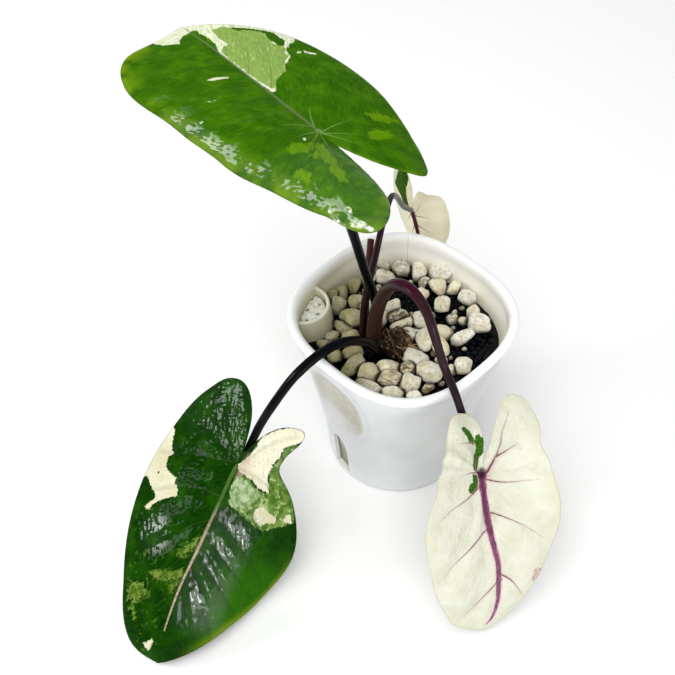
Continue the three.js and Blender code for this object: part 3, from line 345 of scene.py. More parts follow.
# Markings on the blades, in each blade's own flat coordinates: along the midrib, across to the right
MARKS = {
    "top_blade": {
        "cream": [
            [(95.5, -20.5), (92, -18.5), (90, -14), (89, -11), (93, -9.5), (97, -5.5), (98.5, -2.5),
             (101, 1), (99.5, 3.5), (95, 2.5), (92, 3.5), (86.5, 3.5), (81.5, 3), (77.5, 1.5), (72.5, 0),
             (67.5, 0), (62.5, 0), (55.5, 0), (47.5, 0), (40, 0.5), (34.5, 1), (32, 2), (36, 5), (39, 6.5),
             (41, 9.5), (42.5, 12.5), (46, 16.5), (50, 19), (51.5, 22), (55.5, 26), (60, 27), (62.5, 28.5),
             (67, 33), (68.5, 36.5), (72, 40), (78, 38.5), (85, 36), (94, 30), (100, 22.5), (105, 15),
             (109, 8), (112, 2), (110, -4), (106, -13), (101, -19.5)],
            [(50, -20.5), (50.5, -15.5), (49.5, -10), (48, -11), (48, -16.5), (48.5, -20.5)],
            [(32.3, -32), (32, -28.5), (31, -27), (31.2, -29), (31.6, -32)],
            [(20, -42.5), (19.5, -41.5), (18.8, -42), (19.2, -43)],
            [(59, 32), (58.5, 34), (57.2, 33), (57.6, 31)],
            [(59.5, 36), (58, 37.5), (56.5, 41), (54.8, 40), (55.5, 37.5), (57, 35)],
            [(-7, -14.5), (-7, -13), (-9, -14), (-9.5, -16)],
            [(-51.5, -30), (-54, -29.5), (-58, -32), (-61, -32), (-64.5, -31.5), (-68.5, -32),
             (-69.5, -33.5), (-65, -35), (-61.5, -36), (-58, -33), (-54, -32)],
            [(-47, -34), (-50, -33.7), (-52.5, -35), (-57, -36), (-60.5, -36.6), (-58.5, -37.4),
             (-55, -37.6), (-50, -36)],
        ],
        "pale": [
            [(95, 9), (96.5, 14.5), (92, 18), (88, 22.5), (84.5, 28), (79, 29), (74.5, 27.5), (69, 26),
             (67, 29), (62.5, 28.5), (59.5, 25.5), (56, 25.5), (52.5, 21.5), (48.5, 17.5), (45, 16.5),
             (42.5, 12), (39.5, 7.5), (36, 5), (35, 2.5), (41.5, 1.5), (49.5, 1), (57.5, 1), (64.5, 1),
             (70, 1), (74.5, 1.5), (77, 4), (78, 7.5), (83, 7.5), (87, 7), (91, 8)],
        ],
        "dark": [
            [(93, 17.5), (90.5, 21.5), (87.5, 25.5), (84, 29.5), (80.5, 32.5), (75.5, 33), (70.5, 33.5),
             (66.5, 30), (66.5, 27), (72, 27), (75.5, 27), (80, 28.5), (83, 27.5), (86.5, 23.5),
             (88.5, 19), (91, 17)],
        ],
        "lime": [
            [(-11, -25), (-10.5, -21), (-12, -17), (-11, -13), (-15.5, -16), (-17.5, -21.5), (-16.5, -26),
             (-15, -27.5)],
            [(-12.5, -13), (-12, -7.5), (-18.5, -10.5), (-26, -13), (-33.5, -16), (-40, -19.5), (-38, -21),
             (-31.5, -20.5), (-26, -18), (-22.5, -18), (-22.5, -21.5), (-19.5, -20.5), (-18, -16.5)],
            [(-25, -32.5), (-25.5, -29.5), (-29, -28), (-32.5, -30), (-33, -32.5), (-30, -32),
             (-28.5, -33.5)],
            [(-8, 19), (-7.5, 25), (-9.5, 29), (-12.5, 28), (-14.5, 19), (-12.5, 16)],
            [(4, 27), (3, 35.5), (-1.5, 42), (-4, 34), (-1, 28)],
        ],
    },
    "right_blade": {
        "green": [
            [(-24, 6.5), (-24, 4.5), (-21.5, 2.5), (-18, 0.5), (-16, -0.5), (-13.5, -0.5), (-14, 1),
             (-15.5, 2.5), (-18, 3.5), (-20.5, 5), (-23, 6.5)],
            [(-17.5, -1), (-17.5, -2), (-17.5, -3), (-16.5, -3), (-15.5, -4), (-15.5, -5), (-14.5, -5),
             (-13, -4.5), (-11.5, -3.5), (-9, -3), (-8, -2), (-6.5, -0.5), (-4.5, 0.5), (-3, 1.5),
             (-1.5, 3), (-2.5, 4), (-5.5, 4), (-9, 2.5), (-9.5, 1), (-11.5, -0.5), (-14.5, -0.5)],
            [(-1.5, 5), (0, 3), (1.5, 2.5), (3.5, 3.5), (5.5, 3.5), (6.5, 5.5), (7.5, 7.5), (6, 9.5),
             (4, 10), (2, 9), (2, 7), (0.5, 6)],
        ],
        "scar": [
            [(50, -17), (49.5, -19), (51, -22), (53, -23), (56, -21), (57.5, -18), (55.5, -16.5),
             (53, -17.5)],
        ],
    },
    "left_blade": {
        "cream": [
            [(2.5, 40.5), (6, 39), (9.5, 37), (11.5, 34), (14, 35.5), (17, 35), (19, 33.5), (20, 30),
             (20.5, 25), (22.5, 25), (24, 21.5), (27, 19.5), (30, 23), (32, 26), (35, 28.5), (37.5, 30.5),
             (39.5, 30), (40.5, 32.5), (40, 34), (37, 32.5), (35.5, 31), (33, 31), (31.5, 33.5),
             (30.5, 37.5), (28.5, 40), (28, 43), (29.5, 45.5), (31, 50), (25.5, 51), (15, 51), (6, 49),
             (0, 45)],
            [(1, 0), (-3, -2), (-6, -3), (-9, -3.5), (-11.5, -4), (-13.5, -3.5), (-16, -4), (-18.5, -5.5),
             (-22.5, -8.5), (-25.5, -12), (-29, -17), (-28, -25), (-24.5, -22), (-21.5, -20), (-19, -17),
             (-17, -16), (-14, -16), (-12, -16.5), (-9.5, -16), (-7, -15.5), (-3, -16), (-0.5, -17),
             (3.5, -20), (5, -21.5), (5.5, -18), (5.5, -15), (3.5, -11), (3, -7.5), (3, -3.5)],
            [(14, -19), (12, -22.5), (13, -26), (14, -31), (16.5, -32), (18, -27.5), (20.5, -25.5),
             (20, -21.5), (18, -19.5)],
            [(11.5, -34.5), (9, -37), (12.5, -40), (14, -38), (13.5, -35.5)],
            [(95, 8.5), (90, 4.5), (91.5, 3.5), (97, 5.5)],
        ],
        "pale": [
            [(11, -2.5), (4.5, -2.5), (3, -4), (3.5, -8.5), (6, -14), (6, -18.5), (5, -21.5), (0, -18),
             (-3, -16), (-7.5, -16), (-11.5, -17), (-14.5, -16), (-18.5, -17), (-21.5, -20),
             (-18.5, -21.5), (-13, -21), (-6.5, -21), (-3.5, -24), (0, -30), (4, -35), (7, -38),
             (12.5, -41), (16, -36.5), (19, -32), (20.5, -30.5), (22.5, -28), (22.5, -25), (21.5, -21.5),
             (20.5, -17.5), (19.5, -13.5), (19, -10), (17.5, -5.5)],
        ],
        "sage": [
            [(11.5, -3), (5, -2.5), (4.5, -7), (6, -12), (7.5, -18), (12.5, -16), (16, -14), (18.5, -9.5),
             (17, -6)],
        ],
        "lime": [
            [(47.5, 6.5), (43.5, 4), (40, 2.5), (37.5, -0.5), (40.5, -1), (45, 1), (48.5, 3), (50, 5)],
            [(63, 14.5), (60, 12), (57.5, 7), (54, 0.5), (57.5, 0.5), (62.5, 1), (66.5, 2.5), (63.5, 4.5),
             (60, 3.5), (62, 7), (64.5, 11.5)],
            [(77, 24.5), (72, 22.5), (69.5, 17), (71, 15), (72.5, 12.5), (77, 16), (80.5, 18), (84, 16),
             (87, 16), (84, 19.5), (79.5, 20), (80.5, 23)],
        ],
        "spot": [[(23, 37.2), (22.3, 36.5), (23, 35.8), (23.7, 36.5)]],
    },
    "back_blade": {
        "green": [
            [(1.1, 2.1), (-1.4, 4.8), (-7.6, 7.2), (-12.2, 10.8), (-23.6, 3.5), (-29.6, 1.5),
             (-30.9, -2.6), (-24.0, -1.9), (-20.2, -2.0), (-14.8, 0.0), (-7.9, 1.4), (-0.4, 1.1)],
        ],
    },
}


# Meshes


def lattice(rows, columns, start=0):
    """Four-cornered faces of a grid of points kept row by row, whose last column meets the first."""
    row = np.arange(rows - 1)[:, None] * columns
    column = np.arange(columns)[None, :]
    beside = (column + 1) % columns
    corners = [row + column, row + columns + column, row + columns + beside, row + beside]
    return np.stack(corners, -1).reshape(-1, 4) + start


def fan(middle, ring, turned=False):
    """Triangles from a middle point to a closed ring of points."""
    after = np.roll(ring, -1)
    first, second = (after, ring) if turned else (ring, after)
    return np.stack([np.full(len(ring), middle), first, second], -1)


def stand(name, data):
    """A new object in the scene."""
    thing = bpy.data.objects.new(name, data)
    bpy.context.scene.collection.objects.link(thing)
    return thing


def piece(name, points, faces, finish, slot, node, fields=None, crease=None):
    """A shown piece for a solid: points in mm, arrays of three- or four-cornered faces, fields per point."""
    sizes = np.concatenate([np.full(len(f), f.shape[1]) for f in faces])
    corners = np.concatenate([f.ravel() for f in faces])
    mesh = bpy.data.meshes.new(name)
    mesh.vertices.add(len(points))
    mesh.vertices.foreach_set("co", (np.asarray(points) * MM).astype(np.float32).ravel())
    mesh.loops.add(len(corners))
    mesh.loops.foreach_set("vertex_index", corners.astype(np.int32))
    mesh.polygons.add(len(sizes))
    mesh.polygons.foreach_set("loop_start", (np.cumsum(sizes) - sizes).astype(np.int32))
    mesh.update(calc_edges=True)
    mesh.polygons.foreach_set("use_smooth", np.full(len(sizes), True))
    if crease is not None:
        mesh.set_sharp_from_angle(angle=np.radians(crease))
    for key, values in (fields or {}).items():
        values = np.asarray(values, np.float32)
        kind, entry = ("FLOAT", "value") if values.ndim == 1 else ("FLOAT_VECTOR", "vector")
        mesh.attributes.new(key, kind, "POINT").data.foreach_set(entry, values.ravel())
    mesh.materials.append(finish)
    thing = stand(name, mesh)
    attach(thing, "root")
    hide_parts(node)


def closed(rings, ends):
    """Skin over rings of points, with a middle point to close each end: points, four-cornered faces, caps."""
    rows, columns = rings.shape[:2]
    count, ring = rows * columns, np.arange(columns)
    caps = np.concatenate([fan(count, ring), fan(count + 1, count - columns + ring, True)])
    return np.concatenate([rings.reshape(-1, 3), ends]), lattice(rows, columns), caps


def unit(vectors):
    """Vectors of length one in the same directions."""
    return vectors / np.maximum(np.linalg.norm(vectors, axis=-1, keepdims=True), 1e-12)


def soft_step(value, low, high):
    """0 below low, 1 above high, and 3x^2 - 2x^3 in between."""
    x = np.clip((value - low) / (high - low), 0, 1)
    return x * x * (3 - 2 * x)


def ripple(places, wavelength, seed):
    """An uneven smooth field of about -1 to 1: cosine waves of about one wavelength, in random directions."""
    random, waves = np.random.default_rng(seed), 11
    turns = unit(random.normal(size=(waves, places.shape[-1])))
    turns *= 2 * np.pi / wavelength * random.uniform(0.6, 1.5, (waves, 1))
    return np.cos(places @ turns.T + random.uniform(0, 2 * np.pi, waves)).sum(-1) / np.sqrt(waves * 1.4)


def through(x, xs, ys):
    """Smooth curve through uneven knots: cubic Hermite pieces whose slopes join the knots on either side."""
    xs, ys = np.asarray(xs, float), np.asarray(ys, float)
    slope = np.empty_like(ys)
    slope[1:-1] = ((ys[2:] - ys[:-2]).T / (xs[2:] - xs[:-2])).T
    slope[0] = (ys[1] - ys[0]) / (xs[1] - xs[0])
    slope[-1] = (ys[-1] - ys[-2]) / (xs[-1] - xs[-2])
    i = np.clip(np.searchsorted(xs, x, side="right") - 1, 0, len(xs) - 2)
    h = xs[i + 1] - xs[i]
    t = (x - xs[i]) / h
    if ys.ndim > 1:
        h, t = h[..., None], t[..., None]
    return ((2 * t**3 - 3 * t**2 + 1) * ys[i] + (t**3 - 2 * t**2 + t) * h * slope[i]
            + (3 * t**2 - 2 * t**3) * ys[i + 1] + (t**3 - t**2) * h * slope[i + 1])


def along_path(path, count):
    """Points on the smooth curve through a path's points, at even steps of its point number."""
    numbers = np.arange(len(path))
    return through(np.linspace(0, len(path) - 1, count), numbers, np.array(path, float))


def tube(line, across, reach, start=0):
    """Closed tube: at each point of the line, a ring in the plane square to it, with the given reach by turn.

    across is a direction that the line never runs along; reach has a row for each point and a column for
    each turn. Returns the points and the faces, with a middle point to close each end."""
    ahead = unit(np.gradient(line, axis=0))
    side = unit(across - (ahead @ across)[:, None] * ahead)
    over = np.cross(ahead, side)
    turn = 2 * np.pi * np.arange(reach.shape[1]) / reach.shape[1]
    rings = (line[:, None] + reach[..., None] * (np.cos(turn)[None, :, None] * side[:, None]
             + np.sin(turn)[None, :, None] * over[:, None]))
    count, sides = reach.shape
    points = np.concatenate([rings.reshape(-1, 3), line[:1], line[-1:]])
    low = start + np.arange(sides)
    high = low + (count - 1) * sides
    quads = lattice(count, sides, start=start)[:, ::-1]
    caps = np.concatenate([fan(start + count * sides, low, True), fan(start + count * sides + 1, high)])
    return points, quads, caps


def ball(rows, columns):
    """Unit ball as rings of latitude and two poles: its points, its four-cornered faces and its caps."""
    latitude = np.pi * (np.arange(rows) + 1) / (rows + 1)
    turn = 2 * np.pi * np.arange(columns) / columns
    rings = np.stack([np.sin(latitude)[:, None] * np.cos(turn), np.sin(latitude)[:, None] * np.sin(turn),
                      np.repeat(np.cos(latitude)[:, None], columns, 1)], -1)
    return closed(rings, [(0, 0, 1), (0, 0, -1)])


def copies(faces, count, size):
    """The faces of a shape repeated for many shapes whose points follow each other."""
    return (faces[None] + size * np.arange(count)[:, None, None]).reshape(-1, faces.shape[1])


# Finishes


def paint(code):
    """Linear colour of a hexadecimal screen colour."""
    tones = np.array([int(code[i:i + 2], 16) / 255 for i in (1, 3, 5)])
    tones = np.where(tones <= 0.04045, tones / 12.92, ((tones + 0.055) / 1.055) ** 2.4)
    return (*tones, 1)


class Amount:
    """A number worked out in a material: arithmetic on it adds the Math nodes."""

    def __init__(self, finish, socket):
        self.finish = finish
        self.socket = socket

    def maths(self, operation, *values):
        return self.finish.node("ShaderNodeMath", {"operation": operation}, dict(enumerate(values)))

    def __add__(self, other):
        return self.maths("ADD", self, other)

    def __radd__(self, other):
        return self.maths("ADD", other, self)

    def __sub__(self, other):
        return self.maths("SUBTRACT", self, other)

    def __rsub__(self, other):
        return self.maths("SUBTRACT", other, self)

    def __mul__(self, other):
        return self.maths("MULTIPLY", self, other)

    def __rmul__(self, other):
        return self.maths("MULTIPLY", other, self)

    def __pow__(self, other):
        return self.maths("POWER", self, other)

    def __abs__(self):
        return self.maths("ABSOLUTE", self)

    def least(self, other):
        return self.maths("MINIMUM", self, other)

    def step(self, low, high):
        """0 below low and 1 above high, smooth in between."""
        values = {"Value": self, "From Min": low, "From Max": high}
        return self.finish.node("ShaderNodeMapRange", {"interpolation_type": "SMOOTHSTEP"}, values)


class Finish:
    """A material around one shader, whose fixed values are set on its own sockets."""

    def __init__(self, name, **fixed):
        self.material = bpy.data.materials.new(name)
        self.material.use_nodes = True
        self.tree = self.material.node_tree
        self.shader = self.tree.nodes["Principled BSDF"]
        self.wear(**fixed)

    def put(self, socket, value):
        """Link an amount to a socket, or set the socket to a number, a vector or a colour's code."""
        if isinstance(value, Amount):
            self.tree.links.new(value.socket, socket)
        else:
            socket.default_value = paint(value) if isinstance(value, str) else value

    def node(self, kind, settings=None, values=None, out=0):
        made = self.tree.nodes.new(kind)
        for key, value in (settings or {}).items():
            setattr(made, key, value)
        for key, value in (values or {}).items():
            self.put(made.inputs[key], value)
        return Amount(self, made.outputs[out])

    def field(self, name):
        return self.node("ShaderNodeAttribute", {"attribute_name": name}, out="Fac")

    def vector(self, name):
        return self.node("ShaderNodeAttribute", {"attribute_name": name}, out="Vector")

    def place(self):
        """Object coordinates in mm."""
        where = self.node("ShaderNodeTexCoord", out="Object")
        return self.node("ShaderNodeVectorMath", {"operation": "SCALE"}, {0: where, "Scale": 1000.0})

    def stretched(self, vector, scale):
        return self.node("ShaderNodeVectorMath", {"operation": "MULTIPLY"}, {0: vector, 1: scale})

    def part(self, vector, axis):
        return self.node("ShaderNodeSeparateXYZ", values={0: vector}, out=axis)

    def noise(self, vector, size, detail=2.0, rough=0.5, bent=0.0):
        """Cloudy noise of about 0 to 1, with features of about that size in mm."""
        values = {"Vector": vector, "Scale": 1 / size, "Detail": detail, "Roughness": rough,
                  "Distortion": bent}
        return self.node("ShaderNodeTexNoise", values=values)

    def cells(self, vector, size, feature="F1"):
        return self.node("ShaderNodeTexVoronoi", {"feature": feature}, {"Vector": vector, "Scale": 1 / size})

    def mix(self, share, first, second):
        """Colour between two, by a share: the colour inputs of this node are 6 and 7, and its output is 2."""
        return self.node("ShaderNodeMix", {"data_type": "RGBA"}, {0: share, 6: first, 7: second}, out=2)

    def layers(self, colour, *laid):
        """Colours laid over the first one after the other, each with its share."""
        for share, above in laid:
            colour = self.mix(share, colour, above)
        return colour

    def bump(self, height, depth, strength=1.0):
        """Normal of a surface raised by height times depth in mm."""
        values = {"Height": height, "Distance": depth * MM, "Strength": strength}
        return self.node("ShaderNodeBump", values=values, out="Normal")

    def wear(self, **values):
        """Put values on the shader's sockets, whose names have _ for a space."""
        for key, value in values.items():
            self.put(self.shader.inputs[key.replace("_", " ")], value)
        return self.material


# The cup


def half_width(z):
    """Half the cup's width: base half plus the flare times the height's share to a power."""
    return BASE_HALF + (RIM_HALF - BASE_HALF) * (np.clip(z, 0, CUP_HEIGHT) / CUP_HEIGHT) ** FLARE


def cup_reach(turn, z, inset):
    """Distance from the axis to the wall: a superellipse at 45 degrees, whose power rises to the rim."""
    power = 2 + RIM_SQUARENESS * (np.clip(z, 0, CUP_HEIGHT) / CUP_HEIGHT) ** 2
    u, v = np.abs(np.cos(turn - np.pi / 4)), np.abs(np.sin(turn - np.pi / 4))
    return (half_width(z) - inset) / (u**power + v**power) ** (1 / power)


def wall_beyond(x, y, z, inset):
    """Distance from the axis to the wall, on the bearing of a place."""
    return cup_reach(np.arctan2(y, x), z, inset)


def shaft_circle(z):
    """Middle and radius of the water shaft, which follows the slope of the wall."""
    reach = half_width(z) + SHAFT["out"]
    turn = np.radians(SHAFT["turn"])
    widening = SHAFT["narrow"] + (1 - SHAFT["narrow"]) * z / SHAFT["top"]
    return reach * np.cos(turn), reach * np.sin(turn), SHAFT["radius"] * widening


def grip_place(turn, z):
    """Place in the grip, 1 at its edge: across it, up it, and away from its middle by a rounded oblong."""
    arc = (turn - np.radians(GRIP["turn"]) + np.pi) % (2 * np.pi) - np.pi
    across, up = arc * half_width(z) / GRIP["half_wide"], (z - GRIP["height"]) / GRIP["half_tall"]
    return across, up, np.abs(across) ** GRIP["power"] + np.abs(up) ** GRIP["power"]


def grip_depth(turn, z):
    """How far the wall is pressed in: full in the middle of the grip, with a smooth slope at its edge."""
    return GRIP["depth"] * soft_step(1 - grip_place(turn, z)[2], 0, 0.75)


def wall_point(turn, z, inset):
    """Point of the cup's wall at a turn about the axis and a height."""
    reach = cup_reach(turn, z, inset) - grip_depth(turn, z)
    return np.stack([reach * np.cos(turn), reach * np.sin(turn), z], -1)


def cut_slot(turn, z):
    """The wall's grid with the points just inside the slot's outline moved onto it, and the faces left out.

    A point's share is 1 on the outline, a half ellipse on a rectangle. It moves by 1 / share from the middle
    of the ellipse's foot, and its turn is found again four times, as the wall's reach changes with it."""
    slot_turn = np.radians(SLOT["turn"])
    sideways = cup_reach(turn, z, 0) * np.sin(turn - slot_turn)
    over, up = sideways / SLOT["half_wide"], z - SLOT["spring"]
    arch, straight = np.hypot(over, up / (SLOT["top"] - SLOT["spring"])), -up / (SLOT["spring"] - SLOT["low"])
    share = np.where(up > 0, arch, np.maximum(np.abs(over), straight))
    within = (share < 1) & (np.cos(turn - slot_turn) > 0)
    by_wall = np.zeros_like(within)
    for down in (-1, 0, 1):
        for along in (-1, 0, 1):
            by_wall |= ~np.roll(within, (down, along), (0, 1))
    rim = within & by_wall
    scale = np.where(rim, 1 / np.maximum(share, 0.3), 1)
    new_z = np.where(rim, SLOT["spring"] + up * scale, z)
    new_turn = turn.copy()
    for _ in range(4):
        bearing = slot_turn + np.arcsin(np.clip(sideways * scale / cup_reach(new_turn, new_z, 0), -1, 1))
        new_turn = np.where(rim, bearing, new_turn)
    hole = within & np.roll(within, -1, 1)
    return new_turn, new_z, hole[:-1] & hole[1:]


def slot_sides(hole, outside_rows, inside_rows):
    """Faces through the wall, all round the slot, from the edge of the outer hole to that of the inner."""

    def strip(first, second, turned):
        """Faces between both edges, from each grid corner to the next."""
        outer = [outside_rows[row] * CUP_COLUMNS + column for row, column in (first, second)]
        inner = [inside_rows[row] * CUP_COLUMNS + column for row, column in (second, first)]
        faces = np.stack(outer + inner, -1)
        return faces[:, ::-1] if turned else faces

    sides = []
    grown = np.pad(hole, ((1, 1), (0, 0)))
    for up, turned in ((0, True), (1, False)):
        row, column = np.nonzero(hole & ~grown[up * 2:len(hole) + up * 2])
        sides.append(strip((row + up, column), (row + up, (column + 1) % CUP_COLUMNS), turned))
    for along, turned in ((0, False), (1, True)):
        beside = np.roll(hole, -1 if along else 1, 1)
        row, column = np.nonzero(hole & ~beside)
        column = (column + along) % CUP_COLUMNS
        sides.append(strip((row, column), (row + 1, column), turned))
    return sides


def shaft_wall(start):
    """The water shaft's own wall: a closed outline of its section, up outside and down inside, round its arc.

    The arc is as wide as the circle lies within the cup's wall, and its ends are held inside that wall."""
    rising = np.linspace(*SHAFT_RISE)
    lip_z, lip_skin = zip(*SHAFT_LIP)
    z = np.concatenate([rising, lip_z, rising[::-1]])[:, None]
    skin = np.concatenate([0 * rising, lip_skin, 0 * rising + SHAFT["wall"]])[:, None]
    cx, cy, radius = shaft_circle(z)
    inward = np.radians(SHAFT["turn"] + 180)
    bearing = np.radians(SHAFT["turn"] + 180 + np.arange(-SHAFT_SEARCH, SHAFT_SEARCH + 1))
    x, y = cx + radius * np.cos(bearing), cy + radius * np.sin(bearing)
    within = np.hypot(x, y) < wall_beyond(x, y, z, SHAFT_END)
    half_arc = np.radians(within.sum(1, keepdims=True) / 2)
    bearing = inward + half_arc * np.linspace(-1, 1, SHAFT_ROWS)
    x, y = cx + (radius - skin) * np.cos(bearing), cy + (radius - skin) * np.sin(bearing)
    held = np.minimum(1, wall_beyond(x, y, z, SHAFT_HELD) / np.hypot(x, y))
    sheet = np.stack([x * held, y * held, z + 0 * x], -1).transpose(1, 0, 2)
    ring = start + np.arange(len(z))
    end = start + SHAFT_ROWS * len(z)
    faces = [lattice(SHAFT_ROWS, len(z), start=start), fan(end, ring),
             fan(end + 1, ring + (SHAFT_ROWS - 1) * len(z), True)]
    return np.concatenate([sheet.reshape(-1, 3), sheet[[0, -1]].mean(1)]), faces


def make_cup(finish):
    """One skin from the middle of the inner floor, up the inside, over the lip, down the outside and under,
    with the slot cut through both walls; then the water shaft's wall as a second closed skin."""
    heights = np.arange(*WALL_ROWS)
    inner = WALL + 0.4 * soft_step(heights, 70, 92)
    profile = np.array([*FLOOR_EDGE, *zip(heights, inner), *LIP, *zip(heights[::-1], 0 * heights), *FOOT])
    column = np.arange(CUP_COLUMNS)
    turn = np.repeat(2 * np.pi * column[None] / CUP_COLUMNS, len(profile), 0)
    z, inset = (np.repeat(profile[:, k:k + 1], CUP_COLUMNS, 1) for k in (0, 1))
    inside_rows = np.arange(len(heights)) + len(FLOOR_EDGE)
    outside_rows = inside_rows[0] + 2 * len(heights) + len(LIP) - 1 - np.arange(len(heights))
    new_turn, new_z, hole = cut_slot(turn[outside_rows], z[outside_rows])
    kept = np.ones((len(profile) - 1, CUP_COLUMNS), bool)
    for rows, faces in ((inside_rows, inside_rows[:-1]), (outside_rows, outside_rows[1:])):
        turn[rows], z[rows] = new_turn, new_z
        kept[faces] &= ~hole
    points = wall_point(turn, z, inset).reshape(-1, 3)
    count = len(points)
    caps = np.concatenate([fan(count, column), fan(count + 1, column + count - CUP_COLUMNS, True)])
    shaft, shaft_faces = shaft_wall(count + 2)
    points = np.concatenate([points, [(0, 0, FLOOR_THICK), (0, 0, 0.2)], shaft])
    faces = [lattice(len(profile), CUP_COLUMNS)[kept.ravel()], *slot_sides(hole, outside_rows, inside_rows),
             caps, *shaft_faces]
    # where the finish changes: inside up to the lip's crown; tinted in the grip, a beige plastic tone with
    # painted shade of the pressed-in hollow, stronger on its right; painted shade on the wall just right of
    # the grip
    across, up, away = grip_place(turn, z)
    # the grip's beige is the plastic's tone and also painted shade of the hollow, stronger towards its right
    # side
    grip = soft_step(1.15 - away, 0, 0.5) * (0.7 + 0.3 * soft_step(across, -0.9, 0.3))
    grip *= 0.35 + 0.65 * soft_step(up + 0.25 * across, -0.95, -0.35)
    # painted shade: a blue-grey band on the wall just right of the grip's edge
    grip_shade = np.exp(-(((away - 1.42) / 0.34) ** 2)) * soft_step(across, 0.55, 0.95)
    plain = np.zeros(2 + len(shaft))
    inside = np.arange(len(profile)) < len(FLOOR_EDGE) + len(heights) + LIP_INSIDE
    fields = {"inside": np.concatenate([inside.repeat(CUP_COLUMNS), [1, 0], np.ones(len(shaft))]),
              "grip": np.append(grip, plain), "grip_shade": np.append(grip_shade, plain)}
    piece("cup", points, faces, finish, "white_plastic", "pot", fields, crease=50)


def liner_reach(turn, z, middle):
    """Distance from the plug's middle to its edge: the nearer of the shaft's circle, by the quadratic
    formula, and the cup's wall, by halving."""
    cx, cy, radius = shaft_circle(z)
    dx, dy = middle[0] - cx, middle[1] - cy
    c, s = np.cos(turn), np.sin(turn)
    b = dx * c + dy * s
    circle = -b + np.sqrt(b * b - (dx**2 + dy**2) + (radius - (SHAFT["wall"] + LINER_GAP)) ** 2)
    low, high = np.zeros_like(circle), circle.copy()
    for _ in range(24):
        half = (low + high) / 2
        x, y = middle[0] + half * c, middle[1] + half * s
        fits = np.hypot(x, y) < wall_beyond(x, y, z, WALL + 2 * LINER_GAP)
        low, high = np.where(fits, half, low), np.where(fits, high, half)
    return (low + high) / 2


def make_liner(finish):
    """Plug of the shaft: an uneven top with dimples at the holes, and sides that follow the shaft down."""
    middle = np.array(LINER_MIDDLE)
    columns, rings = LINER_GRID
    turn = 2 * np.pi * np.arange(columns) / columns
    share = np.arange(1, rings + 1)[:, None] / rings
    reach = share * liner_reach(turn, LINER_TOP, middle)
    x, y = middle[0] + reach * np.cos(turn), middle[1] + reach * np.sin(turn)
    places = np.stack([x, y], -1)
    top = LINER_TOP - LINER_SUNK + 0.35 * ripple(places, 5, 5) + 0.16 * ripple(places, 2, 6)
    for hx, hy in LINER_HOLES:
        away = np.hypot(x - hx, y - hy) / LINER_HOLE["radius"]
        top -= LINER_HOLE["depth"] * np.exp(-(away**4))
    top -= 1.0 * share**10
    rows = [np.stack([x, y, top], -1)]
    for z in LINER_LEVELS:
        centre = middle * (1 - 0.24 * (LINER_TOP - z) / 90)
        reach = liner_reach(turn, z, centre)
        x, y = centre[0] + reach * np.cos(turn), centre[1] + reach * np.sin(turn)
        rows.append(np.stack([x, y, z + 0 * turn], -1)[None])
    points, *faces = closed(np.concatenate(rows), [(*middle, LINER_TOP - LINER_SUNK), (*middle * 0.78, z)])
    piece("shaft_plug", points, faces, finish, "porous_liner", "shaft_liner")


# The filling


def bed_reach(turn, z, gap):
    """Distance from the axis to the edge of the filling: the nearer of the cup's wall and the water shaft."""
    cx, cy, radius = shaft_circle(z)
    b = cx * np.cos(turn) + cy * np.sin(turn)
    inner = b * b - (cx**2 + cy**2) + (radius + gap) ** 2
    to_shaft = np.where((inner > 0) & (b > 0), b - np.sqrt(np.maximum(inner, 0)), 1e9)
    return np.minimum(cup_reach(turn, z, WALL + gap) - grip_depth(turn, z), to_shaft)


def pebble_cover(x, y, room):
    """How deep each place lies under a pebble's outline, as a share; above 0 is covered."""
    cover = np.full(x.shape, -9.0)
    for px, py, length, width, turn in PEBBLES:
        c, s = np.cos(np.radians(turn)), np.sin(np.radians(turn))
        u = ((x - px) * c + (y - py) * s) / (length + room)
        v = ((y - py) * c - (x - px) * s) / (width + room)
        cover = np.maximum(cover, 1 - u * u - v * v)
    return cover


def bed_mass():
    """The closed body of the filling under its grains: rings up the wall, then three rings across the top."""
    turn = 2 * np.pi * np.arange(BED_COLUMNS) / BED_COLUMNS
    rows = []
    for z in BED_LEVELS:
        reach = bed_reach(turn, z, 0.4)
        rows.append(np.stack([reach * np.cos(turn), reach * np.sin(turn), z + 0 * turn], -1))
    rim = rows[-1]
    rows += [rim * (share, share, 1) + (0, 0, 0.1) for share in (0.9, 0.6, 0.3)]
    return closed(np.array(rows)[::-1], [(0, 0, BED_LEVELS[-1] + 0.1), (0, 0, BED_LEVELS[0])])


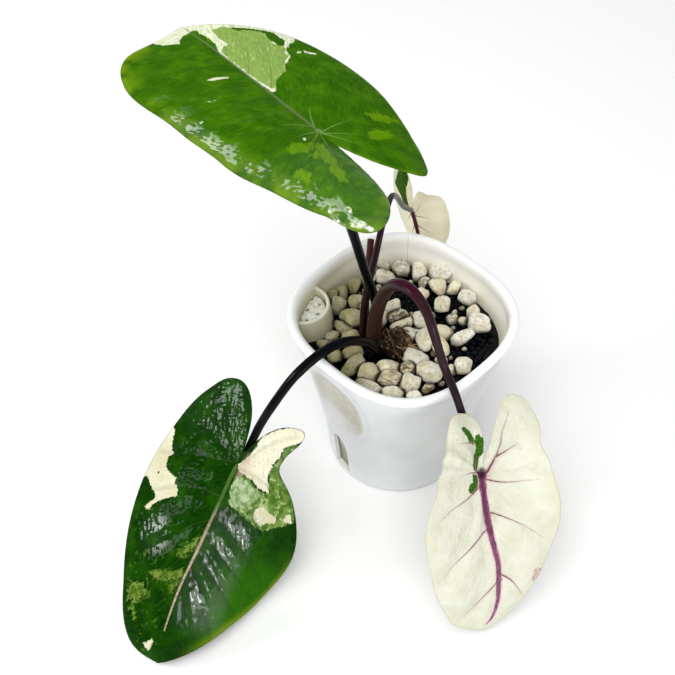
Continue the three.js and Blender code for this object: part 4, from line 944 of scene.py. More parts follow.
def make_bed(finish):
    """The mass of the filling, with two layers of small balls on an uneven grid of staggered rows."""
    mass, *faces = bed_mass()
    random = np.random.default_rng(31)
    layer, row, column = np.indices(GRAIN_GRID)
    x = GRAIN_STEP * (column + 0.5 * ((row + layer) % 2))
    x = x + random.normal(0, GRAIN_DRIFT["level"], GRAIN_GRID)
    y = GRAIN_ROW * (row + 0.6 * layer) + random.normal(0, GRAIN_DRIFT["level"], GRAIN_GRID)
    x, y = GRAIN_START + x.ravel(), GRAIN_START + y.ravel()
    size = random.uniform(*GRAIN_SIZE, x.shape)
    z = BED_TOP - GRAIN_SUNK - GRAIN_LAYER * layer.ravel()
    z = z + random.normal(0, GRAIN_DRIFT["upright"], x.shape)
    kept = np.hypot(x, y) < bed_reach(np.arctan2(y, x), BED_TOP, 0.3) - size
    kept &= pebble_cover(x, y, -1.4) < 0
    x, y, z, size = np.concatenate([np.array([x, y, z, size])[:, kept], np.array(STRAY_GRAINS).T], 1)
    centres = np.stack([x, y, z], -1)
    shape, *shape_faces = ball(*GRAIN_BALL)
    grains = centres[:, None] + size[:, None, None] * shape * random.uniform(0.9, 1.08, (len(centres), 1, 3))
    faces += [copies(some, len(centres), len(shape)) + len(mass) for some in shape_faces]
    tint = np.append(np.full(len(mass), 0.2), np.repeat(random.uniform(0, 1, len(centres)), len(shape)))
    piece("granules", np.concatenate([mass, grains.reshape(-1, 3)]), faces, finish, "black_granules",
          "granule_bed", {"tint": tint})


def pebble_form(shape, random, number):
    """A ball squared up by a power, dented by six soft planes, and made uneven by waves of four lengths."""
    form = shape * (np.abs(shape) ** PEBBLE_POWER).sum(-1, keepdims=True) ** (-1 / PEBBLE_POWER)
    for face in unit(random.normal(size=(6, 3)) * (1, 1, 0.8)):
        past = form @ face - random.uniform(0.62, 0.92)
        form = form - (0.4 * past + 0.4 * np.sqrt(past**2 + 0.006))[:, None] * face
    waves = sum(tall * ripple(form, wavelength, seed + number) for tall, wavelength, seed in PEBBLE_WAVES)
    return form * (1 + waves)[:, None]


def make_pebbles(finish):
    """Each pebble is a dented ball stretched to its length, width and height, tilted and turned."""
    shape, *shape_faces = ball(*PEBBLE_BALL)
    random = np.random.default_rng(8)
    bodies, tints, browns, forms = [], [], [], []
    for number, (x, y, length, width, turn) in enumerate(PEBBLES):
        height = (0.85 * width / PEBBLE_SIZE * 1.1 + 1.2) * 1.45
        form = pebble_form(shape, random, number) * (0.98 * length, 0.98 * width, 0.56 * height)
        tilt = np.radians(random.uniform(-14, 14, 2))
        form = form @ np.array([[1, 0, np.sin(tilt[0])], [0, 1, np.sin(tilt[1])], [0, 0, 1]])
        c, s = np.cos(np.radians(turn)), np.sin(np.radians(turn))
        form = form @ np.array([[c, s, 0], [-s, c, 0], [0, 0, 1]])
        z = BED_TOP + 0.45 * height
        bodies.append(form + (x, y, z))
        forms.append((x, y, z, length, width, 0.56 * height, c, s))
        tints.append(np.full(len(form), random.uniform(0, 1)))
        is_brown, is_ochre = number in BROWN_PEBBLES, number in OCHRE_PEBBLES
        brown = 1.0 if is_brown else 0.6 if is_ochre else random.uniform(0, 0.2)
        browns.append(np.full(len(form), brown))
    faces = [copies(some, len(PEBBLES), len(shape)) for some in shape_faces]
    start = len(PEBBLES) * len(shape)
    small, *small_faces = ball(*CRUMB_BALL)
    for number, (x, y, size) in enumerate(CRUMBS):
        form = small * (1 + 0.2 * ripple(small, 1.5, 500 + number))[:, None] * random.uniform(0.7, 1.15, 3)
        bodies.append(form * size + (x, y, BED_TOP + 0.6 + 0.6 * size))
        tints.append(np.full(len(form), random.uniform(0, 1)))
        browns.append(np.full(len(form), random.choice([0.1, 0.3, 0.7])))
    faces += [copies(some, len(CRUMBS), len(small)) + start for some in small_faces]
    # flat against the cup's wall and the water shaft: no point lies further out than they do
    points = np.concatenate(bodies)
    bearing, away = np.arctan2(points[:, 1], points[:, 0]), np.hypot(points[:, 0], points[:, 1])
    points[:, :2] *= np.minimum(1, bed_reach(bearing, points[:, 2], 0.35) / away)[:, None]
    # painted shade: dark where a neighbour is close, between the stones: 1 - the squared place in its
    # ellipsoid, the most of them all
    owner = np.repeat(np.arange(len(bodies)), [len(body) for body in bodies])
    near = np.full(len(points), -9.0)
    for number, (x, y, z, length, width, tall, c, s) in enumerate(forms):
        dx, dy = points[:, 0] - x, points[:, 1] - y
        u, v = (dx * c + dy * s) / length, (dy * c - dx * s) / width
        inner = 1 - u**2 - v**2 - ((points[:, 2] - z) / tall) ** 2
        near = np.where(owner == number, near, np.maximum(near, inner))
    fields = {"tint": np.concatenate(tints), "brown": np.concatenate(browns),
              "near": soft_step(near, -0.6, 0.02)}
    piece("pebbles", points, faces, finish, "pumice", "pumice_pebbles", fields)


def wrapped_strands(random):
    """Strands along great circles of each lump, at a wavy distance from its middle, above the bed's top."""
    for lump, strands in zip(CORM_LUMPS, LUMP_STRANDS):
        centre, radii = np.array(lump[:3]), np.array(lump[3:])
        for _ in range(strands):
            first = unit(random.normal(size=3) * (1, 1, 0.7) + (0.1, -0.2, 0.5))
            second = unit(np.cross(first, random.normal(size=3) * (1, 1, 0.35)))
            angle = np.linspace(0, random.uniform(0.6, 1.7), 12)[:, None]
            lift = 0.86 + 0.46 * random.random() ** 1.8
            lift = lift + 0.15 * np.sin(angle * random.uniform(2, 6) + random.random() * 6)
            line = centre + radii * lift * (np.cos(angle) * first + np.sin(angle) * second)
            yield above(line, 0.6), random.uniform(0.15, 0.4), random.choice([0, 0, 0, 0.1, 0.3, 0.9])


def stray_strands(random):
    """Thin strands that run out from the corm's top in a falling parabola, with a sideways wave."""
    for _ in range(34):
        start = np.array([random.uniform(-5, 2), random.uniform(-9, -3), random.uniform(85, 88.5)])
        away = unit(np.array([random.normal(0.9, 0.6), random.normal(-0.6, 0.8), 0]))
        out = np.linspace(0, random.uniform(3, 9), 12)[:, None]
        line = start + away * out + UP * (0.8 * np.sin(out * 0.5) - 0.1 * out**2)
        line += 0.4 * np.sin(out * 1.1 + random.random() * 6) * np.cross(away, UP)
        yield above(line, 0.8), random.uniform(0.12, 0.26), random.choice([0.1, 0.4, 0.9])


def root_loops(random):
    """Loose roots from the corm down to the bed: a parabola's arch over a falling line, swung to one side."""
    for _ in range(30):
        start = np.array([random.uniform(-4, 2.5), random.uniform(-11, -4), random.uniform(83.5, 88)])
        away = unit(np.array([random.normal(0.8, 0.7), random.normal(-0.7, 0.8), 0]))
        share = np.linspace(0, 1, 12)[:, None]
        line = start + away * random.uniform(3, 8) * share + share**1.5 * UP * (83.2 - start[2])
        line += share * (1 - share) * UP * random.uniform(1.6, 8.8)
        line += random.uniform(0.5, 1.6) * np.sin(share * random.uniform(3, 7)) * np.cross(away, UP)
        yield above(line, 0.8), random.uniform(0.22, 0.4), random.choice([0.1, 0.3, 0.9])


def sheath_scraps(random):
    """Dry scraps of old leaf bases: flat ribbons that stand up from the bed and lean out by a square law."""
    ring = 2 * np.pi * np.arange(12) / 12
    ribbon = 1 / np.hypot(np.cos(ring), np.sin(ring) / 0.16)
    for _ in range(13):
        start = np.array([random.uniform(-11.5, -5.5), random.uniform(-10.5, -2), 82.6])
        lean = np.array([random.normal(-0.15, 0.25), random.normal(-0.1, 0.3), 1])
        up = np.linspace(0, 1, 12)[:, None]
        line = start + lean * up * random.uniform(3.5, 7.5)
        line = line + (random.normal(0, 0.9), random.normal(0, 0.9), 0) * up**2
        yield line, random.uniform(0.8, 1.5) * ribbon, random.choice([0.05, 0.15, 0.35])


def above(line, room):
    """A line with no point lower than the bed's top and some room."""
    return np.maximum(line, (-1e9, -1e9, BED_TOP + room))


def make_corm(finish):
    """Uneven lumps wrapped in strands, which are tapered tubes, with roots and dry scraps beside them."""
    shape, quads, caps = ball(*LUMP_BALL)
    random = np.random.default_rng(12)
    points, faces, count, tints = [], [], 0, []
    for x, y, z, rx, ry, rz in CORM_LUMPS:
        uneven = 0.14 * ripple(shape, 1.1, 21) + 0.07 * ripple(shape * (1, 1, 0.3), 0.3, 22)
        form = shape * (1 + uneven)[:, None]
        points.append(form * (rx, ry, rz) * 0.88 + (x, y, z))
        tints.append(np.zeros(len(form)))
        faces += [quads + count, caps + count]
        count += len(form)
    main_roots = [(along_path(path, 16), radius, tint) for path, radius, tint in ROOTS]
    for line, radius, tint in (*main_roots, *wrapped_strands(random), *stray_strands(random),
                               *root_loops(random), *sheath_scraps(random)):
        taper = 1 - 0.55 * np.linspace(0, 1, len(line)) ** 2
        reach = np.outer(taper, radius * np.ones(5) if np.ndim(radius) == 0 else radius)
        new, sides, ends = tube(line, unit(np.array([0.83, 0.42, 0.23])), reach, count)
        points.append(new)
        tints.append(np.full(len(new), tint))
        faces += [sides, ends]
        count += len(new)
    piece("corm", np.concatenate(points), faces, finish, "corm_bark", "corm",
          {"tint": np.concatenate(tints)})


# Leaf stalks


def make_stalk(name, finish):
    """Tapered tube along the stalk's line; the right one opens into a grooved sheath at the crown."""
    stalk = STALKS[name]
    steps, sides = STALK_STEPS, STALK_SIDES
    line = along_path(stalk["path"], steps)
    share = np.linspace(0, 1, steps)
    radii = through(share * (len(stalk["radii"]) - 1), np.arange(len(stalk["radii"])), stalk["radii"])
    turn = 2 * np.pi * np.arange(sides) / sides
    reach = np.outer(radii, np.ones(sides))
    if name == "right_petiole":
        opened = soft_step(share, 0.62, 0.1)[:, None]
        off = (turn + np.pi / 2 + np.pi) % (2 * np.pi) - np.pi
        reach *= 1 - 0.34 * opened * np.exp(-((off / 0.34) ** 2)) + 0.06 * opened * np.cos(2 * turn)
    else:
        reach *= 1 - 0.05 * np.exp(-((((turn - 1.6 + np.pi) % (2 * np.pi) - np.pi) / 0.4) ** 2))
    skin = np.stack([np.repeat(share[:, None] * 160, sides, 1), np.repeat(turn[None] * 2, steps, 0)], -1)
    reach *= 1 + 0.012 * ripple(skin, 14, 3)
    if name == "cut_petiole":
        reach[-1] *= 0.9
    else:
        reach[-2:] *= [[0.92], [0.6]]
    points, quads, caps = tube(line, unit(np.array(stalk["across"], float)), reach)
    length = np.concatenate([[0], np.cumsum(np.linalg.norm(np.diff(line, axis=0), axis=1))])
    # upward: how far each point faces up, which places the painted highlight on the arch
    up = unit(points[:-2].reshape(steps, sides, 3) - line[:, None])[..., 2].ravel()
    skin = np.stack([np.repeat(length, sides), np.tile(turn * 2, steps), np.zeros(steps * sides)], -1)
    fields = {"along": np.append(np.repeat(share, sides), [0, 1]), "upward": np.append(up, [0, 0]),
              "skin": np.concatenate([skin, [(0, 0, 0), (length[-1], 0, 0)]])}
    piece(name.replace("petiole", "stalk"), points, [quads, caps], finish, stalk["slot"], name, fields)


# Leaf blades


def eased(three, place):
    """A value given at the lobes, at the stalk and at the tip, eased between them."""
    lobe, middle, tip = three
    k = np.clip(place, LOBE_END, 1)
    f = np.where(k >= 0, k, k / LOBE_END)
    return middle + np.where(k >= 0, tip - middle, lobe - middle) * f * f * (3 - 2 * f)


def blade_frame(blade):
    """The blade's own directions: ahead to the tip, across to the right, and up out of its face."""
    h, p, r = np.radians([blade["heading"], blade["pitch"], blade["roll"]])
    ahead = np.array([np.sin(h) * np.cos(p), np.cos(h) * np.cos(p), np.sin(p)])
    level = np.array([np.cos(h), -np.sin(h), 0])
    across = level * np.cos(r) - np.cross(level, ahead) * np.sin(r)
    return ahead, across, np.cross(across, ahead)


def blade_points(blade, s, t, lift=0.0):
    """The middle skin: the midrib is an arc in the blade's upright plane, and each half an arc across it,
    then twisted about the midrib and swept sideways towards the tip."""
    place, right = s / blade["right"][0], t >= 0

    def bend(place):
        forward = np.radians(blade["tip_bend"]) * np.abs(place) ** 1.8
        return np.where(place >= 0, forward, np.radians(blade["lobe_bend"]) * place)

    def of_half(key):
        """A fold or curl of the half that each place lies in, in radians."""
        values = np.where(right, eased(blade[key + "_right"], place), eased(blade[key + "_left"], place))
        return np.radians(values)

    slopes = bend(place[..., None] * (np.arange(16) + 0.5) / 16)
    ahead, down, slope = np.cos(slopes).mean(-1) * s, -np.sin(slopes).mean(-1) * s, bend(place)
    fold, curl = of_half("fold"), of_half("curl") + 1e-4
    far = fold + curl * np.abs(t) / blade["width"]
    out = blade["width"] / curl * (np.sin(far) - np.sin(fold)) * np.where(right, 1, -1)
    up = blade["width"] / curl * (np.cos(far) - np.cos(fold)) + lift
    twist = np.radians(blade["twist"]) * place
    sideways = out * np.cos(twist) - up * np.sin(twist) + np.where(s > 0, blade["sweep"] * s * place, 0)
    above_rib = out * np.sin(twist) + up * np.cos(twist)
    a, b, n = blade_frame(blade)
    forward, upward = ahead + above_rib * np.sin(slope), down + above_rib * np.cos(slope)
    return np.array(blade["at"]) + forward[..., None] * a + sideways[..., None] * b + upward[..., None] * n


def margin(blade, bearing):
    """Reach to the edge at a bearing, where 180 is the notch between the lobes."""
    off = np.abs(bearing)
    right, left = (through(off, BEARINGS, blade[half] + [blade["notch"]]) for half in ("right", "left"))
    return np.where(bearing >= 0, right, left)


def blade_grid(blade, columns, rings):
    """Flat places on rays from the joint, spread evenly along the edge, and on rings that close up there."""
    fine = np.linspace(-180, 180, 7201)

    def flat(bearing, share):
        full = 180 + np.where(bearing >= 0, 1, -1) * blade["notch_turn"]
        reach, angle = margin(blade, bearing) * share, np.radians(bearing * full / 180)
        return reach * np.cos(angle), reach * np.sin(angle)

    edge = np.stack(flat(fine, 1.0), -1)
    run = np.concatenate([[0], np.cumsum(np.linalg.norm(np.diff(edge, axis=0), axis=1))])
    run = run / run[-1] + 0.35 * (fine + 180) / 360
    bearing = np.interp(np.arange(columns) / columns * run[-1], run, fine)
    share = (np.arange(1, rings + 1) / rings)[:, None] ** 0.85
    s, t = flat(bearing, share)
    to_edge = margin(blade, bearing) * (1 - share)
    grids = ((0, s), (0, t), (0, share + 0 * s), (50, to_edge))
    return [np.append(at_joint, grid) for at_joint, grid in grids]


def to_segments(places, first, step):
    """From each place to each straight segment: the nearest point's share along it, and the gap to it."""
    offset = places[:, None] - first[None]
    share = np.clip((offset * step).sum(-1) / (step**2).sum(-1), 0, 1)
    return share, offset - share[..., None] * step


def to_curves(places, curves, samples=14):
    """For each place, the nearest of the curves: distance, side of it, run along it, and its number."""
    rows = np.arange(len(places))
    nearest = np.array([np.full(len(places), 1e9), 0 * rows, 0 * rows, 0 * rows])
    for number, curve in enumerate(curves):
        line = along_path(curve, samples)
        step = np.diff(line, axis=0)
        share, gap = to_segments(places, line[:-1], step)
        distance = np.hypot(gap[..., 0], gap[..., 1])
        pick = distance.argmin(1)
        gap, step = gap[rows, pick], step[pick]
        side = np.sign(step[:, 0] * gap[:, 1] - step[:, 1] * gap[:, 0])
        run = (pick + share[rows, pick]) / (samples - 1)
        found = np.array([distance[rows, pick], side, run, 0 * rows + number])
        nearest = np.where(found[0] < nearest[0], found, nearest)
    return nearest


def inside_by(places, outlines):
    """How far each place lies inside the nearest of the closed outlines, in mm; negative outside them all.

    A place is inside where a ray from it crosses the outline an odd number of times."""
    most = np.full(len(places), -1e9)
    for outline in outlines:
        first = np.array(outline, float)
        step = np.roll(first, -1, 0) - first
        distance = np.linalg.norm(to_segments(places, first, step)[1], axis=-1).min(1)
        above_place = first[:, 1] > places[:, 1:]
        crosses = above_place != np.roll(above_place, -1, 1)
        tall = np.where(step[:, 1] == 0, 1e-9, step[:, 1])
        meet = first[:, 0] + (places[:, 1:] - first[:, 1]) / tall * step[:, 0]
        within = (crosses & (places[:, :1] < meet)).sum(1) % 2 == 1
        most = np.maximum(most, np.where(within, distance, -distance))
    return most


def blade_relief(blade, places, share, to_edge, from_line):
    """Height of the skin over the smooth blade: rounded up and lumpy between its veins, which lie in furrows,
    then wrinkled near the edge, folded round the joint, and waved at the edge by two sines of the bearing."""
    s, t = places.T
    fade = soft_step(to_edge, 0, 9)
    amount = blade["quilt"] + sum(tall * np.exp(-(np.hypot(s - a, t - b) / wide) ** 2)
                                  for a, b, wide, tall in blade["pillows"])
    lift = amount * (1 - np.exp(-((from_line / 4.2) ** 2))) * fade
    lift += blade["lumps"] * ripple(places, 9, 41) * fade * (1 - np.exp(-((from_line / 3) ** 2)))
    lift += blade["lumps"] * 0.35 * ripple(places, 3.6, 42) * fade * soft_step(from_line, 0.5, 3)
    crumpled = (1 - soft_step(to_edge / blade["wrinkle_room"], 0.5, 1)) * soft_step(to_edge, 0, 1.5)
    lift += blade["wrinkle"] * (ripple(places, 3.2, 43) + 0.5 * ripple(places, 2.0, 44)) * crumpled
    angle = np.arctan2(t, s)
    lift += blade["folds"] * np.cos(13 * angle + 2 * np.sin(3 * angle)) * soft_step(np.hypot(s, t), 4, 22)
    waves = np.sin(5 * angle + 0.7) + 0.5 * np.sin(9 * angle + 2)
    return lift + blade["wave"] * waves * share**4 * np.abs(np.sin(angle))


def flat_fields(blade, name, places, to_edge, to_vein, to_rib):
    """What the leaf's finish reads at each flat place: veins, midrib, edge, grain along veins, markings."""
    s, t = places.T
    (vein, vein_side, vein_run, vein_wide), (rib, rib_side, rib_run, rib_wide) = to_vein, to_rib
    grain = np.radians(np.where(t >= 0, blade["grain_right"], blade["grain_left"]))
    across_grain = s * np.sin(grain) - np.abs(t) * np.cos(grain)
    along_grain = (s * np.cos(grain) + np.abs(t) * np.sin(grain)) * GRAIN_STRETCH
    fields = {
        "vein_side": vein * vein_side, "vein_room": vein, "vein_run": vein_run,
        "vein_wide": vein_wide * (0.12 + 0.88 * (1 - vein_run) ** 1.3) * (vein_run < 0.999),
        "rib_side": rib * rib_side, "rib_wide": np.where((rib_run > 0.001) & (rib_run < 0.999), rib_wide, 0),
        "edge": to_edge, "flat": np.stack([s, t, 0 * s], -1),
        "grain": np.stack([across_grain, along_grain, 0 * s], -1),
        "spoke": np.stack([np.arctan2(t, s) * 24, np.hypot(s, t) * GRAIN_STRETCH, 0 * s], -1),
    }
    for mark, outlines in MARKS[name].items():
        fields[mark] = np.clip(inside_by(places, outlines), -6, 6)
    return fields


def make_blade(name, finish):
    """Two skins on the same places, raised by the relief and parted by the thickness along the normal of the
    smooth blade, with ridges under the veins; a thin margin closes them."""
    blade = BLADES[name]
    columns, rings = blade["grid"]
    s, t, share, to_edge = blade_grid(blade, columns, rings)
    places = np.stack([s, t], -1)
    vein, vein_side, vein_run, number = to_curves(places, blade["veins"])
    vein_wide = np.resize(blade["vein_wide"], len(blade["veins"]))[number.astype(int)]
    rib, rib_side, rib_run, _ = to_curves(places, [blade["rib"]], 30)
    widths = blade["rib_wide"]
    rib_wide = through(rib_run * (len(widths) - 1), np.arange(len(widths)), widths)
    near = 0.3
    over = blade_points(blade, s, t + near) - blade_points(blade, s, t - near)
    ahead = blade_points(blade, s + near, t) - blade_points(blade, s - near, t)
    normal = unit(np.cross(over, ahead))
    relief = blade_relief(blade, places, share, to_edge, np.minimum(vein, rib * 0.8 + 0.5))
    middle = blade_points(blade, s, t, relief)
    thick = BLADE_THICK / 2 * (0.3 + 0.7 * soft_step(to_edge, 0, 2.2))
    crest = 0.28 * rib_wide * np.exp(-((rib / np.maximum(rib_wide, 0.3)) ** 2)) * (rib_run < 0.999)
    ridge = 0.9 * crest + 0.3 * np.exp(-((vein / 0.7) ** 2)) * (1 - vein_run)
    top = middle + normal * (thick + 0.35 * crest)[:, None]
    low = middle - normal * (thick + ridge * soft_step(to_edge, 0, 9))[:, None]
    size, column = len(s), np.arange(columns)
    ring, edge, beside = column + size - columns, column + 2 * size, np.roll(column, -1)
    rim = middle[ring] + 0.22 * unit(middle[ring] - middle[ring - columns])
    skin = lattice(rings, columns, start=1)
    faces = [skin, skin[:, ::-1] + size,
             np.stack([ring, edge, edge[beside], ring[beside]], -1),
             np.stack([edge, ring + size, ring[beside] + size, edge[beside]], -1),
             fan(0, column + 1), fan(size, column + 1 + size, True)]
    fields = flat_fields(blade, name, places, to_edge, (vein, vein_side, vein_run, vein_wide),
                         (rib, rib_side, rib_run, rib_wide))
    fields = {key: np.concatenate([value, value, value[ring]]) for key, value in fields.items()}
    fields["under"] = np.concatenate([np.zeros(size), np.ones(size), np.full(columns, 0.5)])
    piece(name, np.concatenate([top, low, rim]), faces, finish, blade["slot"], name, fields)


# Materials


def plastic():
    """White cup: cool outside, with a painted highlight on the lip and painted shade beside the grip; warm
    and a little stained inside, with painted shade on the inner left wall and a greyer painted shade low down
    that shows in the slot; a beige grip, partly painted shade; and a fine uneven skin.
    """
    f = Finish("white_cup_plastic", Roughness=0.4, IOR=1.46, Subsurface_Weight=0.2, Subsurface_Scale=0.003,
               Subsurface_Radius=(1, 0.95, 0.85), Specular_IOR_Level=0.35, Coat_Weight=0.1,
               Coat_Roughness=0.25)
    place = f.place()
    x, y, z = (f.part(place, axis) for axis in "XYZ")
    cloud, fine = f.noise(place, 26, 3), f.noise(place, 3, 4)
    mottle = f.noise(place, 2.4, 4, 0.65).step(0.4, 0.66)
    outer = f.layers(
        f.mix(cloud.step(0.35, 0.7), "#e3e5e8", "#d9dbdd"),
        # painted highlight: the outside is whiter from about 94 mm up, over the lip
        (z.step(94.2, 95.4), "#fafbfc"),
        # painted shade: blue-grey on the wall just right of the grip
        (f.field("grip_shade") * 0.22, "#b4b9c2"),
        # beige grip: plastic tone with painted shade of the hollow, stronger on its right
        (f.field("grip") * (0.62 + 0.3 * mottle), "#bab499"),
    )
    seam = abs(x - 4.3).step(0.4, 0.1) * y.step(20, 25)
    stain = f.noise(f.stretched(place, (1, 1, 0.4)), 9, 4).step(0.52, 0.75) * z.step(97, 84)
    inner = f.layers(
        f.mix((z + 8 * cloud).step(101, 84), "#fefdf9", "#faf4e2"),
        # painted shade: yellowish and darker inside the left wall, near the top
        (x.step(-16, -40) * z.step(99, 92) * 0.75, "#d3d0ad"),
        (seam * 0.3, "#a8a184"),
        (stain * 0.4, "#cdc6a2"),
        # painted shade: greyer inside below 60 mm, seen on the slot's sides
        (z.step(60, 50), f.mix(cloud, "#e2e0d6", "#f2f0e6")),
    )
    colour = f.mix(f.field("inside"), outer, inner)
    return f.wear(Base_Color=colour, Roughness=0.34 + 0.14 * fine, Normal=f.bump(fine, 0.05, 0.5))


def plug():
    """Porous plug: off-white with paler yellowish spots, and a darker olive below about 90 mm, which lies in
    the hollows.
    """
    f = Finish("porous_plug", Roughness=0.7, Subsurface_Weight=0.15, Subsurface_Scale=0.002)
    place = f.place()
    spots = f.noise(place, 2.2, 4).step(0.5, 0.7)
    colour = f.layers("#ecebe2", (spots * 0.6, "#cdc9ab"), (f.part(place, "Z").step(90.4, 88.9), "#7d7858"))
    return f.wear(Base_Color=colour, Normal=f.bump(f.noise(place, 0.7, 3), 0.25))


def granules():
    """Black round granules, a little blue, with a satin shine; the mass is grey below 79 mm, where it shows
    behind the slot.
    """
    f = Finish("black_granules", IOR=1.45, Specular_IOR_Level=0.0, Coat_Weight=0.4, Coat_Roughness=0.1)
    place = f.place()
    fine = f.noise(place, 0.35, 3)
    low_grey = f.mix(f.noise(place, 4, 4), "#96958b", "#c2c0b5")
    colour = f.layers("#010204", (fine, "#04070c"), (f.field("tint").step(0.5, 1), "#0a0f18"),
                      # grey on the mass below 79 mm, which shows behind the slot
                      (f.part(place, "Z").step(79, 70), low_grey))
    return f.wear(Base_Color=colour, Roughness=0.35 + 0.35 * fine, Normal=f.bump(fine, 0.06))


def pumice():
    """Cream pumice: chalky, with small dark pits of painted shade, painted shade low down and between the
    stones, a painted olive shadow on the left, some stones brown.
    """
    f = Finish("pumice", Roughness=0.9, Specular_IOR_Level=0.15)
    place = f.place()
    cloud, fine = f.noise(place, 3.4, 4), f.noise(place, 0.8, 4, 0.65)
    pits = f.cells(place, 1.1).step(0.3, 0.14) * f.noise(place, 1.7, 2).step(0.54, 0.64)
    specks = f.noise(place, 0.5, 2, 0.6).step(0.6, 0.66)
    streaks = f.noise(f.stretched(place, (0.5, 1, 1.6)), 1.6, 3).step(0.35, 0.65)
    colour = f.layers(
        "#fffdf2",
        (f.field("tint"), "#f6edcf"),
        (cloud.step(0.42, 0.75) * 0.85, "#e4d4a6"),
        (f.field("brown") * (0.15 + 1.1 * streaks), "#7d674a"),
        # painted shadow: olive and darker on the left, in the top leaf's shadow
        (f.part(place, "X").step(-8, -26) * (0.45 + 0.6 * cloud), "#8f8750"),
        # painted shade: darker low down, where the stones meet the bed
        ((f.part(place, "Z") + 3 * cloud).step(88, 84) * 0.8, "#4c432c"),
        # painted shade: dark between the stones, where a neighbour is close
        (f.field("near") * (0.75 + 0.4 * cloud), "#30281a"),
        (specks * 0.75, "#7c6d50"),
        # painted shade in the small pits, which the bump also dents
        (pits * 0.85, "#3f3424"),
    )
    height = fine * 0.9 + cloud * 0.7 - pits * 1.8 - specks * 0.5
    return f.wear(Base_Color=colour, Normal=f.bump(height, 0.42, 0.9))


def bark():
    """Fibrous brown skin of the corm: dark, with paler strands and a few dry tan ones."""
    f = Finish("corm_fibre", Roughness=0.7, Specular_IOR_Level=0.25)
    place = f.place()
    strand = f.noise(f.stretched(place, (1, 1, 0.35)), 0.5, 4, 0.7)
    cloud = f.noise(place, 2.5, 3)
    colour = f.layers("#150d08", (strand.step(0.35, 0.7), "#3f2a1a"),
                      (f.field("tint") * (0.5 + cloud), "#a88c66"))
    return f.wear(Base_Color=colour, Normal=f.bump(strand, 0.3))


def stalk_skin(name, low, mid, high, sheen, top, rough, shine, turn=(0.5, 0.85)):
    """Stalk skin: colours at the crown, along and at the blade; fine lines, and a painted highlight on top of
    its arch.
    """
    f = Finish(name, Roughness=rough, IOR=1.42, Specular_IOR_Level=0.05, Coat_Weight=shine,
               Coat_Roughness=0.2)
    along, skin, upward = f.field("along"), f.vector("skin"), f.field("upward")
    lines, mottle = f.noise(f.stretched(skin, (0.06, 2.2, 1)), 1.0, 4), f.noise(skin, 5, 3)
    # painted highlight: the arch colour on the upward side of the stalk's arch
    arch = along.step(0.24, 0.36) * along.step(0.5, 0.42)
    colour = f.layers(
        low,
        (along.step(0.05, 0.42), mid),
        (along.step(*turn), high),
        ((lines - 0.35) * 1.4 * mottle.step(0.3, 0.7), sheen),
        (arch * upward.step(0.2, 0.85), top),
    )
    return f.wear(Base_Color=colour, Roughness=rough + 0.2 * (lines - 0.5), Normal=f.bump(lines, 0.12, 0.7))


class Leaf(Finish):
    """What all leaf finishes share: the blade's fields, masks with torn edges, and the fine net of cells."""

    def __init__(self, name, **fixed):
        super().__init__(name, Specular_IOR_Level=0.0, **fixed)
        self.flat = self.vector("flat")
        self.ahead, self.over = self.part(self.flat, "X"), self.part(self.flat, "Y")
        self.spread = self.ahead * self.ahead + self.over * self.over
        streak, spoke = (self.noise(self.vector(kind), 1.1, 4, 0.6) for kind in ("grain", "spoke"))
        self.grain = streak + (spoke - streak) * self.ahead.step(4, -10)
        self.fine, self.cloud = self.noise(self.flat, 1.1, 3, 0.6), self.noise(self.flat, 12, 3)
        self.edge, self.under = self.field("edge"), self.field("under")
        self.below, self.above = self.under.step(0.4, 0.6), self.under.step(0.6, 0.4)

    def torn(self, name, wobble=1.6, soft=0.16):
        """Mask of a marking: its field pushed about along the veins by noise, then cut sharply."""
        push = (self.grain - 0.5) * (2.4 * wobble) + (self.fine - 0.5) * (1.3 * wobble)
        return (self.field(name) + push).step(-soft, soft)

    def veins(self, soft):
        """Mask of the veins: nearer to a vein's middle line than its half width, and not far off it."""
        return self.rib(soft, "vein") * self.field("vein_room").step(2.6, 1.8)

    def rib(self, soft, line="rib"):
        """Mask of the midrib: nearer to its middle line than its half width."""
        wide = self.field(line + "_wide")
        return (wide - abs(self.field(line + "_side"))).step(-soft, soft) * wide.step(0.02, 0.12)

    def net(self):
        """Fine raised net of small veins."""
        return self.cells(self.flat, 2.4, "DISTANCE_TO_EDGE").step(0.0, 0.16)


